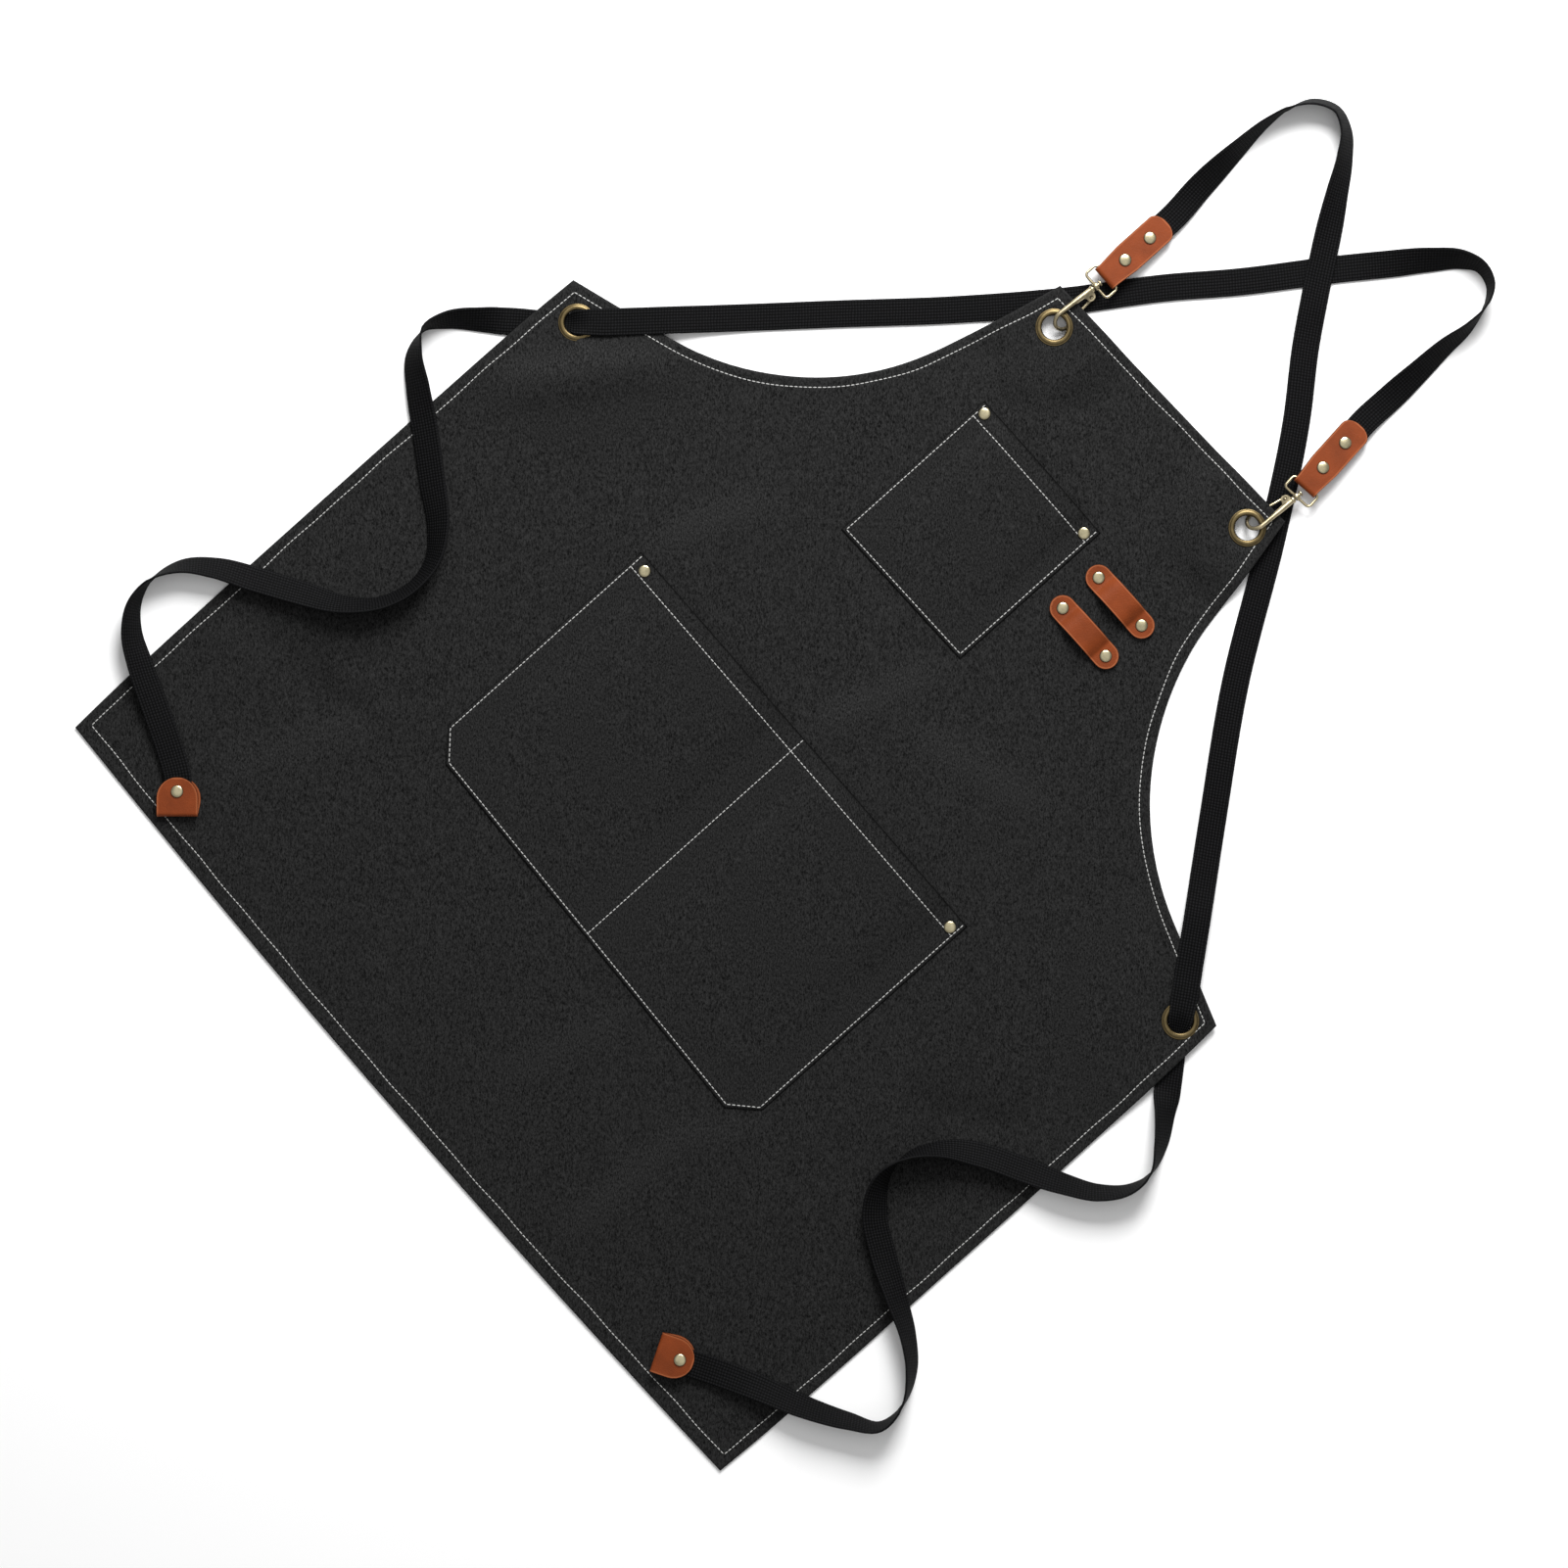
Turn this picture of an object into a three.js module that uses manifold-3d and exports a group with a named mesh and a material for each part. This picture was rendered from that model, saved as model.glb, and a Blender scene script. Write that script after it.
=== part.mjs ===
// Artist apron lying flat, face up: canvas panel with pockets, leather tool loops, grommets,
// and two crossed webbing straps that hook into the bib and run free from the waist.
// Millimetres, +X to the viewer's right, +Y to the bib, +Z up. Tables give y from the hem.
import * as THREE from 'three';
import { mergeVertices } from 'three/addons/utils/BufferGeometryUtils.js';
import Module from 'manifold-3d';

const wasm = await Module();
wasm.setup();

const GAP = 0.3;
const SEAT = 0.15;
const POST_TOOL_LENGTH = 60;

// Canvas panel
const HEM_Y = -402.9;
const PANEL_HALF = 345;
const WAIST_Y = 466.5;
const BIB_Y = 727.7;
const BIB_HALF = 114.1;
const SKIRT_FLAT_Y = 340;
const ARMHOLE_CORNER = { x: 160, y: 527.6 };
const ARMHOLE_RADIUS = 209;
const CANVAS = 1;
const HEM = 10;
const HEM_STEP = 1.5;
const HEM_THICK = 2 * CANVAS;
const SKIRT_SKEW = -0.0196;
const BIB_SKEW = 0.03;
const HEM_BOW = { ends: 1.9, middle: 6.9, tilt: -0.003, reach: 150 };
const SIDE_BOW = 3;
const BIB_SWAY = { by: -2.2, from: 470, full: 540, fade: 620, to: 700 };

// Pockets, placed by the middle of the lower edge
const POCKET_CLOTH = 1.2;
const POCKET_GAPE = 6.4;
const POCKET_SEAM_SHARE = 0.78;
const POCKET_STATIONS = [-1, -0.78, -0.66, -0.5, -0.25, 0, 0.25, 0.5, 0.66, 0.78];
const POCKET_FOOT = 11;
const POCKET_HEIGHTS = [0.25, 0.5, 0.75, 1];
const HAND_POCKET = {
  x: 2.6, y: 172.2, width: 348, height: 206.7, chamfer: 19, rooms: 2, lowSkew: -0.05, mouthSkew: -0.015,
};
const CHEST_POCKET = {
  x: -28, y: 497, width: 123.3, height: 133.6, chamfer: 0, rooms: 1, lowSkew: 0.01, mouthSkew: -0.01,
};

// Leather tool loops
const LOOP_WIDTH = 18.5;
const LOOP_PITCH = 45;
const LOOP_LEATHER = 2;
const LOOP_RISE = 6.6;
const LOOP_BOW_HALF = 17;

// Rivets
const RIVET_HEAD = 4.4;
const RIVET_DOME = 1.7;
const RIVET_POST = 1.5;
const RIVET_CAP = 3.6;
const RIVET_CAP_THICK = 0.6;
const RIVET_HOLE = RIVET_POST + GAP;

// Grommets
const GROMMET_HOLE = 8.75;
const GROMMET_BARREL = 9.6;
const GROMMET_FRONT = 13.2;
const GROMMET_BACK = 10.9;
const GROMMET_FRONT_THICK = 0.7;
const GROMMET_BACK_THICK = 0.6;
const GROMMET_ROLL = 0.25;

// Webbing straps
const STRAP_WIDTH = 19;
const STRAP_THICK = 1.4;
const STRAP_FLOOR_GAP = 0.05;

// Folded leather tabs
const HOOK_TAB = {
  length: 60, width: 21.9, neck: 18.8, shoulder: [5, 22], leaf: 1.6, slot: 2.8, round: 7, rivets: [20, 43.5],
};
const END_TAB = {
  length: 27.45, width: 28.9, neck: 28.9, shoulder: [5, 9], leaf: 1.5, slot: 2, round: 14.45, rivets: [17.6],
};
const HOOK_TAB_FOLD_Z = 8;
const HOOK_TAB_SLOPE = 0.085;
const END_TAB_Z = 5.5;

// Swivel rings
const RING_WIRE = 1;
const RING_HALF = 11.3;
const RING_DEPTH = 10.5;
const RING_CORNER = 2.5;
const RING_BOSS = { radius: 3, length: 3.2, bore: 2 };
const RING_PITCH = 6.5;

// Snap hooks, drawn along a from the swivel to the bend and along b from the back to the gate
const HOOK_STRAIGHT = 29.5;
const HOOK_BEND = 7.25;
const HOOK_TIP_BACK = 4.5;
const HOOK_WIRE = { neck: 1.7, back: 1.75, bend: 1.4, tip: 1.3 };
const HOOK_STEM = { head: 2.3, post: 1.2, collar: 2.6, boss: -1.9 };
const HOOK_TILT = 42;
const HOOK_PITCH = 5;
const HOOK_IN_HOLE = { a: 38.5, b: 5.4 };
const GATE_PIVOT = { a: 5, b: 4 };
const GATE_FROM = { a: 5, b: 7 };
const GATE_END = { a: 26.5, b: 11.9 };
const GATE_HEEL = 3.2;
const GATE_THICK = 1.8;
const GATE_PIN = 0.8;
const GATE_PLAY = 0.1;
const GATE_KNUCKLE = 1.8;
const CHEEK = { radius: 3.4, foot: 4.4, inner: 1.2, thick: 0.9 };

const GROMMETS = [
  { name: 'grommet_bib_left', x: -95.2, y: 701.6, grip: CANVAS, lift: 6.65, flat: 32, reach: 62 },
  { name: 'grommet_bib_right', x: 99.6, y: 708.4, grip: HEM_THICK, lift: 6.65, flat: 32, reach: 62 },
  { name: 'grommet_waist_left', x: -321.1, y: 455.3, grip: HEM_THICK, lift: 3, flat: 46, reach: 105 },
  { name: 'grommet_waist_right', x: 325.4, y: 443.2, grip: HEM_THICK, lift: 3, flat: 46, reach: 105 },
];

// Each clip hangs from a bib grommet: lean turns the hook, turn the tab, gate says to which side it opens
const CLIPS = [
  { side: 'left', grommet: GROMMETS[0], lean: -5, turn: 0, gate: 1 },
  { side: 'right', grommet: GROMMETS[1], lean: -2, turn: 6, gate: -1 },
];

const LOOPS = [
  { name: 'upper', x: 78.6, y: 608 },
  { name: 'lower', x: 77.7, y: 575 },
];

const POCKET_RIVETS = [
  { name: 'rivet_chest_left', x: -82.9, y: 625.2 },
  { name: 'rivet_chest_right', x: 26, y: 621.1 },
  { name: 'rivet_hand_left', x: -159.9, y: 374.2 },
  { name: 'rivet_hand_right', x: 168.8, y: 366.9 },
];

const END_TABS = [
  { side: 'left', x: -250.4, y: 15.8, turn: 138 },
  { side: 'right', x: 252.6, y: 15.1, turn: 29.5 },
];

// Strap routes from the hook tab to the end tab. Columns: x, y, height of what it lies on,
// tilt of the webbing about its run (0 flat, 90 on edge, 180 turned over), width where it bunches.
const STRAP_LEFT = [
  [-97, 760, 6.59, 0], [-97, 782, 4.73, 0], [-97, 804, 2.86, 0], [-97, 812, 2.2, 0], [-100.5, 846, 0, 22],
  [-102, 880, 0, 54], [-102, 910, 0, 78], [-99, 928, 0, 92], [-91, 943, 0, 106], [-76, 951, 0, 111],
  [-61, 946, 0, 117], [-48, 933, 0, 127], [-32, 911, 0.4, 146], [-9.5, 880, 1.75, 175],
  [11, 852, 1.75, 180], [32, 825, 0, 180], [66, 786, 0, 180], [116, 718, 0, 180], [176, 629, 0, 180],
  [236, 554, 0, 180], [262, 522, 1.8, 180], [283, 496, 5.3, 180], [304, 470, 5.3, 180],
  [315, 456.5, 6.2, 180, 13], [320.8, 449, 6.2, 180, 11.5], [330, 437.3, 0.45, 180, 11.5],
  [338, 426.5, 0.2, 178, 15], [354, 406, 0, 179], [366, 392.5, 0, 140], [381, 375, 0, 120],
  [391, 357, 0, 95], [389, 338, 0, 74], [376, 320, 0.6, 57], [356, 306.5, 2.4, 45], [330, 292, 2.4, 27],
  [302, 276.5, 2.4, 30], [280, 258.5, 2.4, 58], [267.5, 237, 2.4, 84], [268, 214, 2.4, 122],
  [283, 193.5, 2.4, 155], [306, 180, 2.4, 160], [336, 166, 2.4, 141], [362, 154, 2.2, 124],
  [382, 139.5, 0, 113], [396, 118, 0, 93], [396, 97, 0, 76], [378, 83, 0.6, 58], [350, 66.5, 2.5, 41],
  [316, 50, 2.5, 18], [289, 35.7, 3.6, 3], [276.6, 28.7, 4.75, 0], [259.8, 19.2, 4.75, 0],
];
const STRAP_RIGHT = [
  [104.6, 766, 6.6, 0], [102.29, 788, 4.73, 0], [99.98, 810, 2.86, 0], [99.14, 818, 2.2, 0],
  [98.8, 844, 0, 10], [98.5, 868, 0, 33], [98, 896, 0, 53], [99, 918, 0, 72], [95.5, 936, 0, 90],
  [86, 949, 0, 100], [73, 952, 0, 108], [60, 945.5, 0, 127], [46, 930, 0, 145], [28, 906, 0, 168],
  [10, 881.5, 0, 180], [-34, 818, 0, 180], [-63, 780, 0, 180], [-102, 723, 0, 180], [-150, 660, 0, 180],
  [-205, 594, 0, 180], [-236, 556.5, 0, 180], [-260, 527.5, 1.8, 180], [-282, 501, 5.3, 180],
  [-300, 479.5, 5.3, 180], [-310.5, 467.5, 6.2, 180, 13], [-316.1, 460.9, 6.2, 180, 11.5],
  [-326.1, 449.7, 0.45, 180, 11.5], [-334, 441, 0.2, 178, 15], [-353, 421.3, 0, 178], [-366, 408, 0, 150],
  [-383, 388, 0, 122], [-389, 372, 0, 92], [-381, 356, 0.6, 55], [-361, 341.5, 2.4, 30],
  [-338, 327, 2.4, 18], [-305, 305, 2.4, 20], [-279, 287, 2.4, 38], [-264, 268, 2.4, 55],
  [-260, 248, 2.4, 64], [-267, 221, 2.4, 63], [-284, 201, 2.4, 50], [-308, 185.5, 2.4, 28],
  [-338, 167, 2.4, 25], [-362, 152, 2.2, 42], [-379, 135, 0, 62], [-386, 113, 0, 88], [-381, 93, 0, 112],
  [-367, 78, 0.8, 132], [-349, 68.5, 2.5, 150], [-316, 54.5, 2.5, 168], [-286, 42, 3.6, 178],
  [-271, 34.5, 4.75, 180], [-256.5, 21.3, 4.75, 180],
];

const { degToRad, smoothstep, lerp } = THREE.MathUtils;

const canvasFinish = () => new THREE.MeshStandardMaterial({ color: 0x2a2a2b, roughness: 0.95 });
const webbingFinish = () => new THREE.MeshStandardMaterial({ color: 0x131313, roughness: 0.8 });
const leatherFinish = () => new THREE.MeshStandardMaterial({ color: 0x9c4f2a, roughness: 0.55 });
const antiqueBrass = () => new THREE.MeshStandardMaterial({ color: 0x857049, roughness: 0.35, metalness: 1 });
const paleBrass = () => new THREE.MeshStandardMaterial({ color: 0xcbbb8d, roughness: 0.28, metalness: 1 });

// Shared vertices merged and slivers dropped, so that every solid is one closed skin
function weld(geometry) {
  geometry.deleteAttribute('normal');
  geometry.deleteAttribute('uv');
  const merged = mergeVertices(geometry, 1e-4);
  const corners = merged.index.array;
  const kept = [];
  for (let i = 0; i < corners.length; i += 3) {
    const [a, b, c] = [corners[i], corners[i + 1], corners[i + 2]];
    if (a !== b && b !== c && c !== a) kept.push(a, b, c);
  }
  merged.setIndex(kept);
  return merged;
}

function toSolid(geometry) {
  const welded = weld(geometry);
  const vertProperties = new Float32Array(welded.attributes.position.array);
  const triVerts = new Uint32Array(welded.index.array);
  return new wasm.Manifold(new wasm.Mesh({ numProp: 3, vertProperties, triVerts }));
}

function fromSolid(solid) {
  const mesh = solid.getMesh();
  const geometry = new THREE.BufferGeometry();
  geometry.setAttribute('position', new THREE.BufferAttribute(new Float32Array(mesh.vertProperties), 3));
  geometry.setIndex(Array.from(mesh.triVerts));
  return geometry;
}

const without = (solid, tool) => solid.subtract(toSolid(tool));
const cut = (geometry, tools) => fromSolid(tools.reduce(without, toSolid(geometry)));
const join = (pieces) => fromSolid(pieces.map(toSolid).reduce((a, b) => a.add(b)));
const common = (a, b) => fromSolid(toSolid(a).intersect(toSolid(b)));

// A closed skin of four-cornered faces
function skin(points, quads) {
  const index = [];
  for (const [a, b, c, d] of quads) index.push(a, b, c, a, c, d);
  const geometry = new THREE.BufferGeometry().setFromPoints(points);
  geometry.setIndex(index);
  return weld(geometry);
}

// A sheet of cloth between an upper and a lower grid of points, rows running up and columns to the right
function sheet(upper, lower) {
  const rows = upper.length;
  const columns = upper[0].length;
  const under = rows * columns;
  const at = (r, c) => r * columns + c;
  const quads = [];
  for (let r = 0; r + 1 < rows; r++) {
    for (let c = 0; c + 1 < columns; c++) {
      quads.push([at(r, c), at(r, c + 1), at(r + 1, c + 1), at(r + 1, c)]);
      quads.push([under + at(r, c), under + at(r + 1, c), under + at(r + 1, c + 1), under + at(r, c + 1)]);
    }
  }
  const rim = [];
  for (let c = 0; c < columns; c++) rim.push(at(0, c));
  for (let r = 1; r < rows; r++) rim.push(at(r, columns - 1));
  for (let c = columns - 2; c >= 0; c--) rim.push(at(rows - 1, c));
  for (let r = rows - 2; r > 0; r--) rim.push(at(r, 0));
  rim.forEach((a, i) => {
    const b = rim[(i + 1) % rim.length];
    quads.push([a, under + a, under + b, b]);
  });
  return skin([...upper.flat(), ...lower.flat()], quads);
}

// A rod or ribbon through rings of points, each ring counter-clockwise seen against the run.
// Opposite sides are split along the same diagonal, so that a twisted ribbon keeps its thickness.
function loft(rings) {
  const sides = rings[0].length;
  const quads = [];
  for (let r = 0; r + 1 < rings.length; r++) {
    for (let s = 0; s < sides; s++) {
      const t = (s + 1) % sides;
      const quad = [r * sides + s, r * sides + t, (r + 1) * sides + t, (r + 1) * sides + s];
      quads.push(s < sides / 2 ? quad : [...quad.slice(1), quad[0]]);
    }
  }
  const last = (rings.length - 1) * sides;
  for (let s = 1; s + 1 < sides; s += 2) {
    const t = Math.min(s + 2, sides - 1);
    quads.push([0, t, s + 1, s]);
    quads.push([last, last + s, last + s + 1, last + t]);
  }
  return skin(rings.flat(), quads);
}

// A turned piece about +Z, its profile given as [radius, height] from the bottom up the outside
function turned(profile, segments) {
  const points = profile.map(([r, z]) => new THREE.Vector2(r, z));
  return weld(new THREE.LatheGeometry(points, segments).rotateX(Math.PI / 2));
}

// A flat plate of a given outline, and an upright post for cutting holes
function slab(outline, depth, curveSegments) {
  return new THREE.ExtrudeGeometry(outline, { depth, bevelEnabled: false, curveSegments });
}

function postTool(x, y, radius) {
  const tool = new THREE.CylinderGeometry(radius, radius, POST_TOOL_LENGTH, radius > RIVET_HEAD ? 18 : 8);
  return tool.rotateX(Math.PI / 2).translate(x, y, 0);
}

const apron = new THREE.Group();
apron.position.y = HEM_Y;

function addPiece(name, geometry, material, parent = apron) {
  const mesh = new THREE.Mesh(geometry, material);
  mesh.name = name;
  parent.add(mesh);
  return mesh;
}

// The panel is lifted where the grommets, hooks and straps pass under it
function liftAt(x, y) {
  const lifts = GROMMETS.map((g) => g.lift * (1 - smoothstep(Math.hypot(x - g.x, y - g.y), g.flat, g.reach)));
  return Math.max(0, ...lifts);
}

const panelTop = (x, y) => liftAt(x, y) + HEM_THICK;

// The cloth lies slightly askew, the skirt one way and the bib the other, its hem and sides bowed out
function laid(x, y) {
  const skew = lerp(SKIRT_SKEW, BIB_SKEW, smoothstep(y, WAIST_Y, BIB_Y));
  const bow = HEM_BOW.ends + HEM_BOW.middle * (1 - (x / PANEL_HALF) ** 2) + HEM_BOW.tilt * x;
  const wider = y < WAIST_Y ? SIDE_BOW * (1 - (2 * y / WAIST_Y - 1) ** 4) : 0;
  const sway = smoothstep(y, BIB_SWAY.from, BIB_SWAY.full) - smoothstep(y, BIB_SWAY.fade, BIB_SWAY.to);
  return {
    x: x * (1 + wider / PANEL_HALF) + BIB_SWAY.by * sway,
    y: y + x * skew - bow * (1 - smoothstep(y, 0, HEM_BOW.reach)),
  };
}

// Armhole: a straight from the waist corner, an arc, and a straight to the bib corner
const waistTurn = Math.atan2(ARMHOLE_CORNER.y - WAIST_Y, PANEL_HALF - ARMHOLE_CORNER.x);
const bibTurn = Math.atan2(BIB_Y - ARMHOLE_CORNER.y, ARMHOLE_CORNER.x - BIB_HALF);
const tangent = ARMHOLE_RADIUS * Math.tan((bibTurn - waistTurn) / 2);
const armholeCentre = {
  x: ARMHOLE_CORNER.x + tangent * Math.cos(waistTurn) + ARMHOLE_RADIUS * Math.sin(waistTurn),
  y: ARMHOLE_CORNER.y - tangent * Math.sin(waistTurn) + ARMHOLE_RADIUS * Math.cos(waistTurn),
};

// Half the panel's width at a height, in from the edge by an inset
function panelHalf(y, inset) {
  const radius = ARMHOLE_RADIUS + inset;
  const drop = armholeCentre.y - y;
  let x = armholeCentre.x - Math.sqrt(Math.max(0, radius ** 2 - drop ** 2));
  if (drop > radius * Math.cos(waistTurn)) {
    x = PANEL_HALF - (inset + Math.cos(waistTurn) * (y - WAIST_Y)) / Math.sin(waistTurn);
  } else if (drop < radius * Math.cos(bibTurn)) {
    x = BIB_HALF - (inset + Math.cos(bibTurn) * (y - BIB_Y)) / Math.sin(bibTurn);
  }
  return Math.min(PANEL_HALF - inset, x);
}

function panelRows() {
  const even = (from, to, count) => Array.from({ length: count }, (_, i) => lerp(from, to, i / count));
  const hemCorner = WAIST_Y + HEM * (Math.tan(waistTurn) - 1 / Math.cos(waistTurn));
  const arcFrom = armholeCentre.y - ARMHOLE_RADIUS * Math.cos(waistTurn);
  const arcTurns = even(waistTurn, bibTurn, 7);
  const arcTo = armholeCentre.y - ARMHOLE_RADIUS * Math.cos(bibTurn);
  const bibHem = BIB_Y - HEM;
  return [
    0, HEM, ...even(HEM + HEM_STEP, SKIRT_FLAT_Y, 6), ...even(SKIRT_FLAT_Y, hemCorner, 5), hemCorner,
    ...even(WAIST_Y, arcFrom, 2),
    ...arcTurns.map((turn) => armholeCentre.y - ARMHOLE_RADIUS * Math.cos(turn)),
    ...even(arcTo, bibHem - HEM_STEP, 5), bibHem - HEM_STEP, bibHem, BIB_Y,
  ];
}

function panelGeometry() {
  const shares = Array.from({ length: 11 }, (_, i) => i / 5 - 1);
  const upper = [];
  const lower = [];
  for (const y of panelRows()) {
    const [edge, hem, body] = [0, HEM, HEM + HEM_STEP].map((inset) => panelHalf(y, inset));
    const across = [-edge, -hem, ...shares.map((share) => share * body), hem, edge];
    const rowInHem = y <= HEM || y >= BIB_Y - HEM;
    const points = across.map((x) => laid(x, y));
    upper.push(points.map((p) => new THREE.Vector3(p.x, p.y, panelTop(p.x, p.y))));
    lower.push(points.map((p, i) => {
      const inHem = rowInHem || i < 2 || i > points.length - 3;
      return new THREE.Vector3(p.x, p.y, liftAt(p.x, p.y) + (inHem ? 0 : CANVAS));
    }));
  }
  return sheet(upper, lower);
}

// A patch pocket, sewn down at its sides, foot and seams, its mouth standing off the panel
function pocketGeometry(pocket) {
  const half = pocket.width / 2;
  const rooms = Array.from({ length: pocket.rooms }, (_, i) => (2 * i + 1) / pocket.rooms - 1);
  const across = rooms.flatMap((room) => POCKET_STATIONS.map((at) => ({ room, at })));
  across.push({ room: rooms.at(-1), at: 1 });
  const heights = [0, pocket.chamfer || POCKET_FOOT, ...POCKET_HEIGHTS.map((h) => h * pocket.height)];
  const upper = [];
  const lower = [];
  for (const height of heights) {
    const reach = half - Math.max(0, pocket.chamfer - height);
    const skew = lerp(pocket.lowSkew, pocket.mouthSkew, height / pocket.height);
    const row = across.map(({ room, at }) => {
      const share = room + at / pocket.rooms;
      const open = 1 - Math.min(1, Math.abs(at) / POCKET_SEAM_SHARE) ** 4;
      const x = pocket.x + share * reach;
      const y = pocket.y + height + share * reach * skew;
      return new THREE.Vector3(x, y, panelTop(x, y) + GAP + POCKET_GAPE * open * height / pocket.height);
    });
    lower.push(row);
    upper.push(row.map((p) => new THREE.Vector3(p.x, p.y, p.z + POCKET_CLOTH)));
  }
  return sheet(upper, lower);
}

// A round-ended strip that bows up between its two rivets
function loopGeometry(loop) {
  const halfWidth = LOOP_WIDTH / 2;
  const halfPitch = LOOP_PITCH / 2;
  const ends = [0.97, 0.8, 0.5, 0].map((share) => halfPitch + share * halfWidth);
  const bows = [1, 0.76, 0.53, 0.3].map((share) => share * LOOP_BOW_HALF);
  const half = [...ends, ...bows];
  const stations = [...half.map((x) => -x), 0, ...half.reverse()];
  const rows = [-1, 0, 1].map((v) => stations.map((x) => {
    const past = Math.max(0, Math.abs(x) - halfPitch);
    const reach = Math.sqrt(halfWidth ** 2 - past ** 2);
    const bow = Math.abs(x) < LOOP_BOW_HALF ? LOOP_RISE * Math.cos(Math.PI * x / 2 / LOOP_BOW_HALF) ** 2 : 0;
    return new THREE.Vector3(loop.x + x, loop.y + v * reach, HEM_THICK + GAP + bow);
  }));
  const upper = rows.map((row) => row.map((p) => new THREE.Vector3(p.x, p.y, p.z + LOOP_LEATHER)));
  return sheet(upper, rows);
}

// A domed rivet clamped between the height under its head and the height over its back cap
function rivetGeometry(headZ, capZ) {
  return turned([
    [0, capZ - RIVET_CAP_THICK], [RIVET_CAP, capZ - RIVET_CAP_THICK], [RIVET_CAP, capZ], [RIVET_POST, capZ],
    [RIVET_POST, headZ], [RIVET_HEAD, headZ], [0.9 * RIVET_HEAD, headZ + 0.5 * RIVET_DOME],
    [0.55 * RIVET_HEAD, headZ + 0.88 * RIVET_DOME], [0, headZ + RIVET_DOME],
  ], 9);
}

function grommetGeometry(grommet) {
  const top = grommet.lift + HEM_THICK + SEAT;
  const under = grommet.lift + HEM_THICK - grommet.grip - SEAT;
  const high = top + GROMMET_FRONT_THICK;
  const low = under - GROMMET_BACK_THICK;
  const crown = GROMMET_HOLE + 0.55 * (GROMMET_FRONT - GROMMET_HOLE);
  return turned([
    [GROMMET_HOLE, low + GROMMET_ROLL], [GROMMET_BACK, low], [GROMMET_BACK, under], [GROMMET_BARREL, under],
    [GROMMET_BARREL, top], [GROMMET_FRONT, top], [crown, high], [GROMMET_HOLE, high - GROMMET_ROLL],
    [GROMMET_HOLE, low + GROMMET_ROLL],
  ], 20).translate(grommet.x, grommet.y, 0);
}

// Webbing along its route, with holes for the rivets of its tabs
function strapGeometry(route, holes) {
  const rings = route.map(([x, y, on, tilt, width = STRAP_WIDTH], i) => {
    const [x0, y0] = route[Math.max(0, i - 1)];
    const [x1, y1] = route[Math.min(route.length - 1, i + 1)];
    const left = new THREE.Vector3(y0 - y1, x1 - x0, 0).normalize();
    const up = new THREE.Vector3(0, 0, 1);
    const turn = degToRad(tilt);
    const wide = left.clone().multiplyScalar(Math.cos(turn)).addScaledVector(up, Math.sin(turn));
    const thick = left.clone().multiplyScalar(-Math.sin(turn)).addScaledVector(up, Math.cos(turn));
    const rise = (width * Math.abs(Math.sin(turn)) + STRAP_THICK * Math.abs(Math.cos(turn))) / 2;
    const middle = new THREE.Vector3(x, y, on + STRAP_FLOOR_GAP + rise);
    const corners = [[-1, -1], [1, -1], [1, 1], [-1, 1]];
    return corners.map(([w, t]) => middle.clone().addScaledVector(wide, w * width / 2)
      .addScaledVector(thick, t * STRAP_THICK / 2));
  });
  return cut(loft(rings), holes.map(({ x, y }) => postTool(x, y, RIVET_HOLE + SEAT)));
}

// A leather tab folded on itself: x runs from the fold to the round end, with a slot between its leaves
function tabGeometry(tab) {
  const inner = tab.slot / 2;
  const outer = inner + tab.leaf;
  const fold = new THREE.Shape();
  fold.moveTo(tab.length + 1, inner);
  fold.lineTo(outer, inner);
  fold.absarc(outer, 0, inner, Math.PI / 2, 1.5 * Math.PI, false);
  fold.lineTo(tab.length + 1, -inner);
  fold.lineTo(tab.length + 1, -outer);
  fold.lineTo(outer, -outer);
  fold.absarc(outer, 0, outer, 1.5 * Math.PI, Math.PI / 2, true);
  fold.lineTo(tab.length + 1, outer);
  const leaves = slab(fold, tab.width + 2, 5);
  leaves.rotateX(Math.PI / 2).translate(0, tab.width / 2 + 1, 0);
  const half = tab.width / 2;
  const neck = tab.neck / 2;
  const [narrow, full] = tab.shoulder;
  const plan = new THREE.Shape();
  plan.moveTo(-1, -neck);
  plan.lineTo(narrow, -neck);
  plan.lineTo(full, -half);
  plan.absellipse(tab.length - tab.round, 0, tab.round, half, -Math.PI / 2, Math.PI / 2, false, 0);
  plan.lineTo(full, half);
  plan.lineTo(narrow, neck);
  plan.lineTo(-1, neck);
  const outline = slab(plan, 4 * outer, 10);
  outline.translate(0, 0, -2 * outer);
  return cut(common(leaves, outline), tab.rivets.map((x) => postTool(x, 0, RIVET_HOLE)));
}

// A tab and its rivets in a group whose origin is the middle of the fold
function addTab(name, tab, group) {
  const face = tab.slot / 2 + tab.leaf + SEAT;
  addPiece(name, tabGeometry(tab), leatherFinish(), group);
  tab.rivets.forEach((x, i) => {
    const rivet = rivetGeometry(face, -face).translate(x, 0, 0);
    const count = tab.rivets.length > 1 ? `_${i + 1}` : '';
    addPiece(name.replace('tab', 'rivet') + count, rivet, paleBrass(), group);
  });
}

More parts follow.
